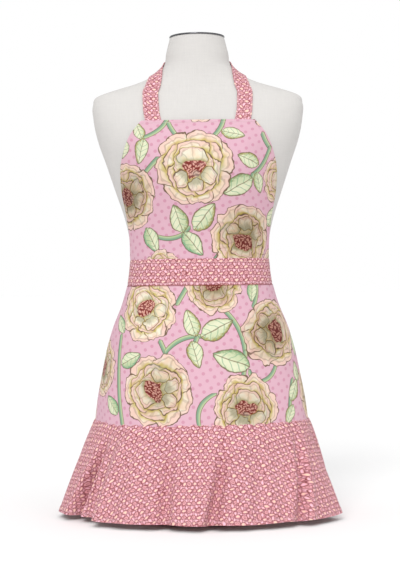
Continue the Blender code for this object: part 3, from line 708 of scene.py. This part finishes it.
class Finish(Graph):
    """A material with a Principled BSDF, and the formulas for its colour and its relief."""

    def __init__(self, name, roughness, settings=()):
        self.material = bpy.data.materials.new(name)
        self.material.use_nodes = True
        super().__init__(self.material.node_tree)
        self.shader = self.tree.nodes["Principled BSDF"]
        for key, value in {"Roughness": roughness, **dict(settings)}.items():
            self.shader.inputs[key].default_value = value

    def done(self, colour, height=None, depth=0.3 * MM, roughness=None):
        """The material, with a colour, a relief up to a depth, and an uneven roughness."""
        self.put(colour, self.shader.inputs["Base Color"])
        if roughness is not None:
            self.put(roughness, self.shader.inputs["Roughness"])
        if height is not None:
            given = {"Strength": 1, "Distance": depth, "Height": height}
            bump = self.node("ShaderNodeBump", given)
            self.put(bump.outputs[0], self.shader.inputs["Normal"])
        return self.material


KINDS = {"vector": "NodeSocketVector", "number": "NodeSocketFloat", "colour": "NodeSocketColor"}


def group(name, kinds, formula):
    """A node group whose colour is a formula of inputs of these kinds."""
    tree = bpy.data.node_groups.new(name, "ShaderNodeTree")
    for i, kind in enumerate(kinds):
        tree.interface.new_socket(f"in {i}", in_out="INPUT", socket_type=KINDS[kind])
    tree.interface.new_socket("out", in_out="OUTPUT", socket_type=KINDS["colour"])
    graph = Graph(tree)
    values = [
        Num(graph, socket) if kind == "number" else socket
        for kind, socket in zip(kinds, graph.node("NodeGroupInput").outputs)
    ]
    graph.node("NodeGroupOutput", {0: formula(graph, *values)})
    return tree


# ---- The rose print ----
def nearest(graph, at, motifs):
    """The place seen from whichever motif is nearest, and that motif's own number.
    motifs are (place, turn, scale, number)."""
    best = None
    for place, turn, scale, number in motifs:
        seen = graph.local(at, place, turn, scale)
        distance = graph.length(seen)
        if best is None:
            best, least, mark = seen, distance, number
            continue
        nearer = distance < least
        best = graph.blend("VECTOR", nearer, best, seen)
        mark = graph.blend("FLOAT", nearer, mark, number)
        least = distance.least(least)
    return best, mark


def petal(graph, drawn, stain, place, spin, size, glow, under):
    """One petal over the colour under it, with a turned lip, and a glow on petals behind.
    stain is a noise that tints it unevenly, like watercolour."""
    seen = graph.seen_from(drawn, place, spin, size)
    along, across = graph.parts(seen)
    wide = graph.parts(size)[1]
    depth = 1 - graph.length(seen) + abs(across) * 0.20 * along.step(0.2, 1.0)
    veins = ((across * 3.0 / (along + 1.9) + 0.5).fract() - 0.5).line(0.16)
    turned_up = (along + across * 0.4).step(0.1, 0.4)
    shade = graph.painted(
        WHITE,
        (stain.step(-0.25, 0.35), CREAM),
        ((along + stain * 2).step(-0.1, 0.8) * 0.70, PEACH),
        ((along + stain).step(0.25, -0.65) * 0.85, GREY),
        (veins * 0.25, MAUVE),
        (depth.step(0.24, 0.20) * turned_up * 0.45, BLUSH),
        ((depth - 0.22).line(0.07) * turned_up * 0.35, MAUVE),
    )
    return graph.painted(
        under,
        (depth.step(-0.26, 0.0) * glow, GOLD),
        (depth.step(-0.01, 0.02), shade),
        (depth.line(0.024 / wide), MAUVE),
    )


def rose(graph, seen, mark, under):
    """A full-blown rose over the colour under it. Its radius is about 1. mark's whole part
    picks how it wavers, its fraction how far its heart leans. Every rose but rose 0 is
    darkened with painted shade, and roses 1 and 2 the most."""
    drawn = graph.warp(seen, 2.1, 0.15, mark * 3.7)
    drawn = graph.warp(drawn, 5.5, 0.075, mark * 1.3)
    stain = graph.noise(drawn, 4.0, 2.0)
    lean = mark.fract()
    kinds = ("vector", "number", "vector", "vector", "vector", "number", "colour")
    one_petal = group("petal", kinds, petal)

    def lay(petals, colour):
        for reach, way, long, wide in petals:
            angle = math.radians(way)
            up = lean * (1 - reach) + reach * math.sin(angle)
            place = graph.joined(reach * math.cos(angle), up)
            glow = 0.85 if reach < 0.5 else 0.0
            values = (stain, place, (0, 0, angle), (long, wide, 1), glow, colour)
            colour = graph.use(one_petal, drawn, *values)
        return colour

    heart = graph.seen_from(drawn, graph.joined(0.0, lean - 0.06), (0, 0, 0), (0.33, 0.24, 1))
    from_heart = graph.length(heart)
    speck = graph.cells(drawn, 14.0, 0.9).step(0.44, 0.28)
    stamens = graph.painted(STAMEN, (speck * 0.85, STAMEN_LIGHT))
    colour = graph.painted(
        lay(BACK_PETALS, under),
        (from_heart.step(1.45, 0.9) * 0.7, OLIVE),
        (from_heart.step(1.06, 0.98), stamens),
    )
    inside = graph.length(drawn).step(0.94, 0.84)
    wash = graph.noise(seen, 2.3, 1.0)
    colour = graph.painted(
        lay(FRONT_PETALS, colour),
        (wash.step(0.10, 0.45) * inside * 0.35, SAGE),
        (wash.step(-0.10, -0.45) * inside * 0.30, BLUSH),
    )
    # Painted shade, multiplied in brown: roses 1 and 2 the most, the others but rose 0 less.
    painted_shade = mark.step(0.9, 1.0) * (1 - mark.step(2.9, 3.0) * 0.45) * inside
    shaded = graph.length(drawn).step(1.15, 0.2) * painted_shade
    return graph.blend("RGBA", shaded * 0.85, colour, SHADE_BROWN, blend_type="MULTIPLY")


def leaf(graph, seen, mark, under):
    """A veined leaf over the colour under it, from -1 to 1 along and across its middle.
    mark is how green it is: at 0 it is pale, and edged with gold."""
    drawn = graph.warp(seen, 1.6, 0.12, mark * 9.0)
    ragged = graph.noise(seen, 4.5, 2.0)
    along, across = graph.parts(drawn)
    side = abs(across)
    profile = (1 - along * along).most(0.0) ** 0.8 * (1 - 0.30 * along)
    beyond = (abs(along) - 1).most(0.0)
    depth = profile + ragged * 0.10 - side - beyond * 2
    vein = ((along + side * 0.45) * 2.4 + 0.25).fract() - 0.5
    edging = graph.painted(OLIVE, (mark.step(0.2, 0.6), LEAF_GREEN))
    shaded = (across + ragged * 0.5 + along * 0.3).step(0.35, -0.55)
    rim = (depth + ragged * 0.3).step(0.46, 0.10) * across.step(0.2, -0.2)
    shade = graph.painted(
        LEAF_PALE,
        (shaded * (0.35 + mark * 0.6), LEAF_MID),
        ((depth + ragged * 0.2).step(0.55, 0.0) * 0.4, LEAF_MID),
        (rim * 0.85, edging),
        (depth.step(0.16, 0.02) * 0.6, edging),
        (vein.line(0.16) * 0.55, LEAF_GREEN),
        (across.line(0.10) * 0.75, LEAF_LINE),
    )
    return graph.painted(
        under, (depth.step(-0.01, 0.01), shade), (depth.line(0.12) * 0.85, LEAF_LINE)
    )


def stem(graph, at, start, spin, size, bow, under):
    """A stem with a dark outline over the colour under it. It runs from its start for a
    length of size, and its middle is a bow's share of that length off to the left."""
    along, across = graph.parts(graph.seen_from(at, start, spin, size))
    long = graph.parts(size)[0]
    off = across - along * (1 - along) * bow * 4
    past = (abs(along - 0.5) - 0.5).most(0.0)
    away = (abs(off) + past) * long
    shade = graph.painted(STEM_GREEN, ((off * long).step(-2.6 * MM, 3.2 * MM), LEAF_MID))
    edge, core = away.step(4.7 * MM, 4.2 * MM), away.step(3.7 * MM, 3.3 * MM)
    return graph.painted(under, (edge, LEAF_LINE), (core, shade))


def weave(graph, at):
    """A plain weave's height: threads over and under, a little uneven."""
    x, y = graph.parts(at)
    thread = 2 * math.pi / (0.9 * MM)
    slub = graph.noise(at, 900.0, 1.0, (1.0, 0.15, 1.0))
    return (x * thread).sine() * (y * thread).sine() * 0.5 + slub * 0.5


def stitched(graph, at, colour, share, thread_colour):
    """The cotton's material: its print under a share of topstitches, and both in relief."""
    edge, along = graph.parts(graph.field("hem"))
    row = (edge - STITCH_IN).line(1.1 * MM)
    thread = row * (along / STITCH).fract().step(0.18, 0.28)
    colour = graph.painted(colour, (thread * share, thread_colour))
    return graph.done(colour, weave(graph, at) * 0.25 + thread * 1.2)


def rose_prints(panels):
    """Cotton with large roses and leaves over a dotted pink ground, one for each panel of
    (name, roses, leaves, stems)."""
    one_stem = group("stem", ("vector", "vector", "vector", "vector", "number", "colour"), stem)
    one_leaf = group("leaf", ("vector", "number", "colour"), leaf)
    one_rose = group("rose", ("vector", "number", "colour"), rose)
    for name, roses, leaves, stems in panels:
        graph = Finish(name, 0.85, CLOTH_LOOK)
        at = graph.field("cloth")
        dot = graph.cells(graph.local(at, (0, 0), 28), 1 / 0.0140, 0.0).step(0.25, 0.18)
        tint = graph.noise(at, 60.0, 2.0)
        colour = graph.painted(PINK, (tint * 0.12 + 0.1, DOT), (dot * 0.85, DOT))
        for (x0, y0), (x1, y1), bow in stems:
            long = math.hypot(x1 - x0, y1 - y0)
            spin = (0, 0, math.atan2(y1 - y0, x1 - x0))
            values = ((x0, y0, 0), spin, (long, long, 1), bow / long, colour)
            colour = graph.use(one_stem, at, *values)
        marks = [((x, y), turn, (size / 2, size * 0.28), green) for x, y, size, turn, green in leaves]
        colour = graph.use(one_leaf, *nearest(graph, at, marks), colour)
        marks = [
            ((x, y), turn, (size, size), i + lean)
            for i, (x, y, size, turn, lean) in enumerate(roses)
        ]
        colour = graph.use(one_rose, *nearest(graph, at, marks), colour)
        # A dark line along each panel's seam with the waistband: painted shadow under the waistband's
        # edge.
        seam = graph.parts(at)[1].line(4 * MM)
        colour = graph.painted(colour, (seam * 0.7, WINE))
        yield stitched(graph, at, colour, 0.5, ROSE_THREAD)


def small_print():
    """Cotton with rows of little ovals and blossoms, outlined, over tendrils on rose pink."""
    graph = Finish("small_print", 0.85, CLOTH_LOOK)
    at = graph.field("cloth")
    drawn = graph.warp(graph.warp(at, 45.0, 3.2 * MM), 120.0, 2.8 * MM, 4.0)
    tint = graph.noise(at, 260.0, 1.0)
    wind = graph.noise(drawn, 330.0, 1.0)
    colour = graph.painted(
        ROSE,
        (tint.step(-0.4, 0.4), ROSE_PALE),
        (wind.line(0.26) * 0.6, WINE),
        ((wind - 0.34).line(0.10) * 0.5, ROSE_PALE),
    )
    for place, turn, size, fill, ringed in LITTLE_SHAPES:
        seen = graph.local(graph.staggered(drawn, place), (0, 0), turn, size)
        depth = 1 - graph.length(seen)
        shade = graph.painted(OVAL_ROSE, (depth.step(0.15, 0.65), fill))
        halo = depth.step(-0.46, -0.18) * 0.9
        colour = graph.painted(colour, (halo, WINE), (depth.step(-0.10, 0.10), shade))
        if ringed:
            colour = graph.painted(colour, ((depth - 0.62).line(0.22) * 0.7, WINE))
    return stitched(graph, at, colour, 0.6, SMALL_THREAD)


# ---- Other materials ----
def linen():
    """Off-white linen with slubs in both directions."""
    graph = Finish("form_linen", 0.9, CLOTH_LOOK | {"Sheen Roughness": 0.6})
    at = graph.field("cloth")
    across = graph.noise(at, 500.0, 3.0, (0.06, 1.0, 1.0))
    up = graph.noise(at, 500.0, 3.0, (1.0, 0.06, 1.0))
    cloud = graph.noise(at, 14.0, 2.0)
    slubs = across * 0.35 + up * 0.35 + 0.5
    shade = graph.painted(LINEN_DARK, (slubs, LINEN_LIGHT), (cloud * 0.15 + 0.15, LINEN_DARK))
    return graph.done(shade, across * 0.4 + up * 0.4 + weave(graph, at) * 0.3)


def metal(name, colour, roughness, brushed):
    """Bright or dark metal with fine turning marks."""
    graph = Finish(name, roughness, {"Metallic": 1.0})
    marks = graph.noise(graph.position(), 60.0, 3.0, (1.0, 1.0, 12.0))
    shade = graph.painted(colour, (marks * 0.2 + 0.2, tuple(c * 0.7 for c in colour)))
    return graph.done(shade, marks * 0.3, 0.05 * MM, marks * brushed + roughness)


def coated(name, colour, roughness, grain):
    """Powder coat, moulded plastic, rubber or pulp: an even colour with a fine grain."""
    graph = Finish(name, roughness)
    fine = graph.noise(graph.position(), grain, 3.0)
    cloud = graph.noise(graph.position(), 25.0, 2.0)
    lighter = tuple(min(c * 1.5, 1) for c in colour)
    shade = graph.painted(colour, (cloud * 0.25 + 0.25, lighter))
    return graph.done(shade, fine, 0.15 * MM, fine * 0.12 + roughness)


def wood():
    """Bare wood with its fibres along X."""
    graph = Finish("board_wood", 0.7)
    fibre = graph.noise(graph.position(), 40.0, 4.0, (0.1, 1.0, 1.0))
    shade = graph.painted(WOOD_DARK, (fibre * 0.5 + 0.5, WOOD_LIGHT))
    return graph.done(shade, fibre, 0.1 * MM)


# ---- Dress form ----
def make_form(cover):
    """The linen cover in two halves, with a seam at each side and one down the back."""
    coarse, fine = np.arange(FORM_BOTTOM, 0.70, 0.006), np.arange(0.70, FORM_TOP, 0.0022)
    heights = np.concatenate([coarse, fine, [FORM_TOP]])[:, None]
    for name, start in (("cover_front", -90), ("cover_back", 90)):
        angles = np.arange(start, start + 180.1, 2.0)[None, :]
        base = form(heights, angles)
        places = cloth_places(base)
        from_side = np.abs(places[..., 0]) - np.abs(places[:, :1, 0])
        out = -1.0 * MM * hump(from_side, 1.6 * MM)
        if name == "cover_back":
            out = out - 0.8 * MM * hump(places[..., 0], 1.5 * MM)
        out = out - COVER_TUCK * hump(heights - FORM_TOP, 1.5 * MM)
        points = form(heights, angles, out - THICK)
        piece = sheet(f"linen_{name}", points, THICK, cover, cloth=places)
        seat(piece, "form", "form_linen", name)
        area(base)


def make_cap(chrome):
    """The metal cap that closes the neck, with a rounded rim."""
    turn = np.arange(0, 360, 3.0)
    rows = []
    for up, out in CAP_RIM:
        row = form(FORM_TOP, turn, out * MM)
        row[:, 2] = FORM_TOP + up * MM
        rows.append(row)
    size, height = CAP_MIDDLE
    rows.append(form(FORM_TOP, turn) * (size, size, 1) + (0, 0, height))
    points = np.array(rows)
    faces = closed_faces(*points.shape[:2])
    piece = add_mesh("neck_cap_rim", points, faces, chrome, {}, sharp=60)
    seat(piece, "form", "bright_steel", "neck_cap")


# ---- Apron. Each function's cloth is a material and the name of its slot. ----
def wear(name, points, thick, cloth, places, hem, held, rests_on, *nodes):
    """A sheet of the apron, which rides on the form and replaces CAD nodes."""
    finish, slot = cloth
    piece = sheet(name, points, thick, finish, cloth=places, hem=hem)
    seat(piece, "form", slot, *nodes)
    wide = float(lengths_along(points.swapaxes(0, 1))[-1].max())
    tall = float(lengths_along(points)[-1].max())
    cut = min(area(points), wide * tall)
    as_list(rests_on)


def make_bib(cloth):
    """The bib bridges the bust. Its hem turns out a little, and its foot is in the band."""
    rows = np.linspace(BAND_TOP - BIB_LAP, BIB_TOP, 90)
    heights = rows[:, None]
    share = np.linspace(-1, 1, 141)[None, :]
    angles = smooth(BIB_EDGE, rows) * share
    flat = form(heights, angles, CLOTH_OUT, True)
    hem = hem_places(flat, [False, True, True, True])
    places = cloth_places(flat)
    lift = 1.2 * MM * soft_step(0.80, 1.0, np.abs(share)) * soft_step(0.50, 0.60, heights)
    tuck = -1.6 * MM * soft_step(BAND_TOP + 0.004, BAND_TOP - 0.004, heights)
    ripple = 0.5 * MM * hump(heights - BAND_TOP, 0.02) * np.sin(places[..., 0] / 0.0042)
    points = form(heights, angles, CLOTH_OUT + lift + tuck + ripple, True)
    nodes = "bib", "bib_facing"
    wear("bib_panel", points, hemmed(hem), cloth, places, hem, "draped", ["cover_front"], *nodes)


def make_waistband(cloth):
    """The waistband is puffed between its two seams."""
    rows = np.linspace(BAND_BOTTOM - 0.001, BAND_TOP + 0.001, 22)[:, None]
    angles = np.linspace(-BAND_END, BAND_END, 161)[None, :]
    middle = (BAND_BOTTOM + BAND_TOP) / 2
    half = (BAND_TOP - BAND_BOTTOM) / 2 + 0.001
    puff = 1 - np.abs((rows - middle) / half) ** 4
    flat = form(rows, angles, CLOTH_OUT, True)
    places = cloth_places(flat)
    hem = hem_places(flat, [True, True, False, False])
    ripple = 0.25 * MM * np.sin(places[..., 0] / 0.0035 + np.sin(places[..., 0] / 0.011))
    points = form(rows, angles, CLOTH_OUT + 0.2 * MM + puff * (1.3 * MM + ripple), True)
    nodes = "waistband", "waistband_facing"
    wear("waistband_panel", points, THICK, cloth, places, hem, "draped", ["bib_panel"], *nodes)


def make_skirt(cloth):
    """The skirt hangs from the waistband in soft folds. The result is its inner face."""
    rows = np.linspace(SEAM - SKIRT_LAP, BAND_BOTTOM + SKIRT_LAP, 90)
    levels = SKIRT_LEVELS.copy()
    levels[[0, -1], 0] += (-2 * SKIRT_LAP, 2 * SKIRT_LAP)
    angles = smooth(levels, rows)[:, 4:] * np.linspace(-1, 1, 181)[None, :]
    heights = np.broadcast_to(rows[:, None], angles.shape)
    base = outline(levels, heights, angles)
    places = cloth_places(base, upwards=False)
    hem = hem_places(base, [False, False, True, True])
    swing = sum(deep * hump(angles - at, wide) for at, wide, deep in SKIRT_FOLDS)
    pucker = 0.35 * MM * hump(heights - BAND_BOTTOM, 0.012) * np.sin(places[..., 0] / 0.0040)
    points = pushed(base, swing * soft_step(BAND_BOTTOM, SEAM, heights) + pucker)
    rests_on = ["waistband_panel"]
    wear("skirt_panel", points, hemmed(hem), cloth, places, hem, "hung", rests_on, "skirt")
    return points


def valley(distance):
    """The section of a valley with a ridge on each side: -1 in its middle."""
    return 0.45 * (hump(distance - 1.7, 0.9) + hump(distance + 1.7, 0.9)) - hump(distance, 1.0)


def flared_places(seam, hem, below):
    """Each grid point's place in a flared strip of flat cloth. seam and hem are the lengths
    along its upper and lower edge, and below is each row's distance from the upper one."""
    turn = (hem - seam) / below.max()
    turn = turn - turn[len(turn) // 2]
    steps = np.gradient(seam)
    edge = np.column_stack([np.cumsum(steps * np.cos(turn)), np.cumsum(steps * np.sin(turn))])
    down = np.column_stack([np.sin(turn), -np.cos(turn)])
    return edge - edge[len(turn) // 2] + below[:, None, None] * down


def make_ruffle(cloth, skirt):
    """The ruffle hangs from the skirt's lower edge, with gathers at its seam."""
    across, down = 421, 60
    share = np.linspace(0, 1, across)
    old = np.linspace(0, 1, skirt.shape[1])
    top = np.column_stack([np.interp(share, old, column) for column in skirt[2].T])
    hem_line = np.column_stack([even_route(HEM_ROUTE, across), np.full(across, HEM)])
    fall = np.linspace(1, 0, down)[:, None]
    spread = (0.35 * fall + 0.65 * fall**0.7)[..., None]
    points = top * (1 - spread) + hem_line * spread
    points[..., 2] = (SEAM + 0.001) * (1 - fall) + HEM * fall
    hem = hem_places(points, [True, False, True, True])
    run = (share - 0.5) * lengths_along(hem_line)[-1] * 0.93
    drop = lengths_along(points[:, across // 2])
    below = (drop[-1] - drop)[:, None]
    gather = np.sin(run / 0.0026 + 1.7 * np.sin(run / 0.019)) * 0.55
    gather = gather + np.sin(run / 0.0058 + 1.1 * np.sin(run / 0.031))
    fade = hump(below, 0.018) * soft_step(-0.001, 0.004, below)
    roll = np.sin(run / 0.017 + 1.3 * np.sin(run / 0.055)) * soft_step(0.0, 0.03, below)
    out = gather * fade * 0.8 * MM + roll * 0.7 * MM
    for at_seam, at_hem, half, deep in RUFFLE_FOLDS:
        middle = at_seam * (1 - fall) + at_hem * fall
        out = out + deep * valley((share - middle) / half) * soft_step(-0.05, 0.75, fall)
    points = pushed(points, out)
    places = flared_places(lengths_along(top), lengths_along(points[0]), below[:, 0])
    rests_on = ["skirt_panel"]
    wear("ruffle_panel", points, hemmed(hem), cloth, places, hem, "gathered", rests_on, "ruffle")


def make_neck_strap(cloth):
    """The strap runs from one corner of the bib round the nape to the other."""
    back = [(height, 360 - angle) for height, angle in STRAP_ROUTE[-2::-1]]
    points = strip_on_form(STRAP_ROUTE + back, STRAP_WIDE, 1.6 * MM, 221)
    places = cloth_places(points)[..., ::-1]
    hem = narrow_hem(points, [True, True, False, False])
    rests_on = ["cover_front", "cover_back"]
    name = "neck_strap_band"
    wear(name, points, STRAP_THICK, cloth, places, hem, "stretched", rests_on, "neck_strap")


def make_ties(cloth):
    """The ties lie on the form's back and pinch together where they meet the bow."""
    rows = np.linspace(-1, 1, 15)[:, None]
    along = np.linspace(0, 1, 61)[None, :]
    middle = (BAND_BOTTOM + BAND_TOP) / 2 * (1 - along) + KNOT_Z * along
    half = TIE_WIDE / 2 * (1 - along) + TIE_AT_KNOT / 2 * along
    pleat = 1.6 * MM * along**2 * (1 + np.cos(rows * 2.5 * math.pi))
    out = 1.2 * MM + 4 * MM * along + pleat
    turn = (BAND_END - 0.8) * (1 - along) + (TIE_END + 1.0) * along
    for end, side in (("left", 1), ("right", -1)):
        points = form(middle + half * rows, side * turn, out)
        points = points if side > 0 else points[:, ::-1]
        places = cloth_places(points) + (0.3 * side, 0.1)
        hem = narrow_hem(points, [True, True, False, False])
        name, rests_on = f"tie_{end}_band", ["cover_back"]
        wear(name, points, TIE_THICK, cloth, places, hem, "stretched", rests_on, f"tie_{end}")


def bow_point(side, across, out, up):
    """A place in the world from one in the bow: to a side, out from the knot, and up."""
    back = form(KNOT_Z, np.array([180.0]))[0, 1]
    return np.array((side * across, back + KNOT_OUT + out, KNOT_Z + up))


def ribbon(name, middle, half, pleats, cloth, node):
    """A strip of cloth along a line, with half its width as a vector at each point of it."""
    share = np.linspace(-1, 1, 15)[:, None]
    points = middle[None] + half[None] * share[..., None]
    points = pushed(points, pleats * np.cos(share * 2.5 * math.pi))
    places = cloth_places(points) + (0.05, 0.2)
    hem = narrow_hem(points, [True, True, False, True])
    wear(name, points, TIE_THICK, cloth, places, hem, "folded", ["bow_wrap"], node)


def make_bow(cloth):
    """Two loops and two tails."""
    count = 81
    along = np.linspace(0, 1, count)
    level = np.ones(count)
    for end, side in (("left", 1), ("right", -1)):
        loop = even_route([bow_point(side, *at) for at in LOOP_ROUTE], count)
        spread = np.sin(math.pi * along) ** 0.5
        tilt = np.column_stack([0.15 * side * level, 0.1 * level, level])
        half = tilt * (0.005 + 0.0085 * spread)[:, None]
        pleats = 1.3 * MM * (1 - spread) ** 1.5
        ribbon(f"bow_{end}_loop", loop, half, pleats, cloth, f"bow_loop_{end}")
        height, angle, out = smooth_route(TAIL_ROUTE, count).T
        tail = form(height, side * (180 - angle), out + 0.002 * np.sin(along * 9))
        wide = 0.006 + 0.0075 * soft_step(0.0, 0.25, along)
        turn = np.sin(along * 5 + side) * 0.25
        half = np.column_stack([np.cos(turn), np.sin(turn), 0.25 * side * along]) * wide[:, None]
        pleats = 1.2 * MM * (1 - soft_step(0.0, 0.35, along))
        ribbon(f"bow_{end}_tail", tail, half, pleats, cloth, f"bow_tail_{end}")


def make_bow_knot(cloth):
    """The creased knot that the bow's loops and tails come out of."""
    turn = np.radians(np.arange(0, 360, 5))
    tilt = np.radians(np.arange(-85, 86, 5))[:, None]
    crease = 1 + 0.07 * np.cos(turn * 5 + tilt * 1.5) * np.cos(tilt) + 0.04 * np.sin(turn * 9)
    turn, tilt = np.broadcast_arrays(turn, tilt)
    unit = np.dstack([np.cos(turn) * np.cos(tilt), np.sin(turn) * np.cos(tilt), np.sin(tilt)])
    points = bow_point(1, 0, 0, 0) + unit * KNOT * crease[..., None]
    places = np.dstack([turn * 0.013, tilt * 0.016, 0 * turn])
    unstitched = np.full(points.shape, 0.1)
    finish, slot = cloth
    fields = {"cloth": places, "hem": unstitched}
    piece = add_mesh("bow_wrap", points, closed_faces(*turn.shape), finish, fields)
    seat(piece, "form", slot, "bow_knot")


# ---- Stand ----
def make_stand(frame, coat, chrome, plastic, rubber, board, pulp):
    """Finer turned pieces for the stand. The screws, the boards and the shell stay the CAD's."""
    screws = ["base_bolt", "neck_screw", "clamp_screw", *(f"bush_screw_{i}" for i in range(1, 5))]
    looks = {"torso_shell": pulp, "base_board": board, "neck_block": board}
    for name, finish in (looks | dict.fromkeys(screws, chrome)).items():
        materials = frame["nodes"][name].data.materials
        materials.clear()
        materials.append(finish)
    for node, profile, finish, slot, body, bevel in (
        ("foot_pad", PAD, rubber, "foot_rubber", "stand", 0.3),
        ("base_plate", PLATE, coat, "base_steel", "stand", 0.4),
        ("pole", POLE, chrome, "bright_steel", "stand", 0.4),
        ("clamp_collar", COLLAR, plastic, "clamp_plastic", "collar", 0.5),
        ("pole_bush", BUSH, coat, "base_steel", "form", 0.4),
    ):
        seat(turned(f"{node}_turned", profile, finish, bevel=bevel * MM), body, slot, node)
    piece = turned("clamp_knob_star", KNOB, plastic, sides=112, lobed=KNOB_RIM)
    piece.location = KNOB_PLACE
    piece.rotation_euler = (-math.pi / 2, 0, 0)
    seat(piece, "knob", "clamp_plastic", "clamp_knob")


# ---- Stage ----
def make_stage():
    """A pale floor, a white surround, soft lights and the camera straight in front."""
    bpy.ops.mesh.primitive_plane_add(size=FLOOR_WIDE)
    floor = bpy.context.object
    floor.name = "floor"
    graph = Finish("floor_paint", 0.9)
    mottle = graph.noise(graph.position(), 3.0, 2.0)
    paint = graph.painted(FLOOR_LIGHT, (mottle * 0.1 + 0.1, FLOOR_DARK))
    floor.data.materials.append(graph.done(paint))
    floor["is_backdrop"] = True

    scene = bpy.context.scene
    scene.view_settings.view_transform = "Standard"
    scene.world = bpy.data.worlds.new("surround")
    scene.world.use_nodes = True
    graph = Graph(scene.world.node_tree)
    sky = graph.tree.nodes["Background"]
    graph.put((1, 1, 1), sky.inputs["Color"])
    graph.put(SKY, sky.inputs["Strength"])
    white = graph.node("ShaderNodeBackground", {"Color": (1, 1, 1)})
    seen = graph.node("ShaderNodeLightPath").outputs["Is Camera Ray"]
    given = enumerate((seen, sky.outputs[0], white.outputs[0]))
    both = graph.node("ShaderNodeMixShader", given)
    graph.put(both.outputs[0], graph.tree.nodes["World Output"].inputs[0])

    for name, (strength, wide, down, round_) in LIGHTS.items():
        lamp = bpy.data.lights.new(name, "SUN")
        lamp.energy = strength
        lamp.angle = math.radians(wide)
        light = bpy.data.objects.new(name, lamp)
        light.rotation_euler = (math.radians(down), 0, math.radians(round_))
        scene.collection.objects.link(light)

    camera = bpy.data.objects.new("camera", bpy.data.cameras.new("camera"))
    camera.data.lens = LENS
    camera.location = CAMERA_PLACE
    camera.rotation_euler = (math.pi / 2, math.radians(CAMERA_ROLL), 0)
    scene.collection.objects.link(camera)
    scene.camera = camera


def main():
    """Loads the frame, and makes the materials, the stage and every piece."""
    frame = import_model()
    cad_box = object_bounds()
    chrome = metal("bright_steel", (0.62, 0.62, 0.64), 0.14, 0.04)
    dark_chrome = metal("dark_steel", (0.14, 0.14, 0.15), 0.12, 0.03)
    coat = coated("base_steel", (0.035, 0.035, 0.038), 0.42, 900)
    plastic = coated("clamp_plastic", (0.030, 0.030, 0.033), 0.5, 500)
    rubber = coated("foot_rubber", (0.02, 0.02, 0.02), 0.8, 300)
    pulp = coated("torso_pulp", (0.48, 0.38, 0.27), 0.9, 200)
    board = wood()
    panels = [
        ("bib_rose_print", BIB_ROSES, BIB_LEAVES, BIB_STEMS),
        ("skirt_rose_print", SKIRT_ROSES, SKIRT_LEAVES, SKIRT_STEMS),
    ]
    bib_cloth, skirt_cloth = [(print_, "rose_print") for print_ in rose_prints(panels)]
    trim = small_print(), "small_print"

    make_stage()
    make_stand(frame, coat, chrome, plastic, rubber, board, pulp)
    make_form(linen())
    make_cap(dark_chrome)
    make_bib(bib_cloth)
    make_waistband(trim)
    skirt = make_skirt(skirt_cloth)
    make_ruffle(trim, skirt)
    make_neck_strap(trim)
    make_ties(trim)
    make_bow(trim)
    make_bow_knot(trim)

    boxes = [[list(map(float, corner)) for corner in box] for box in (cad_box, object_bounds())]


main()
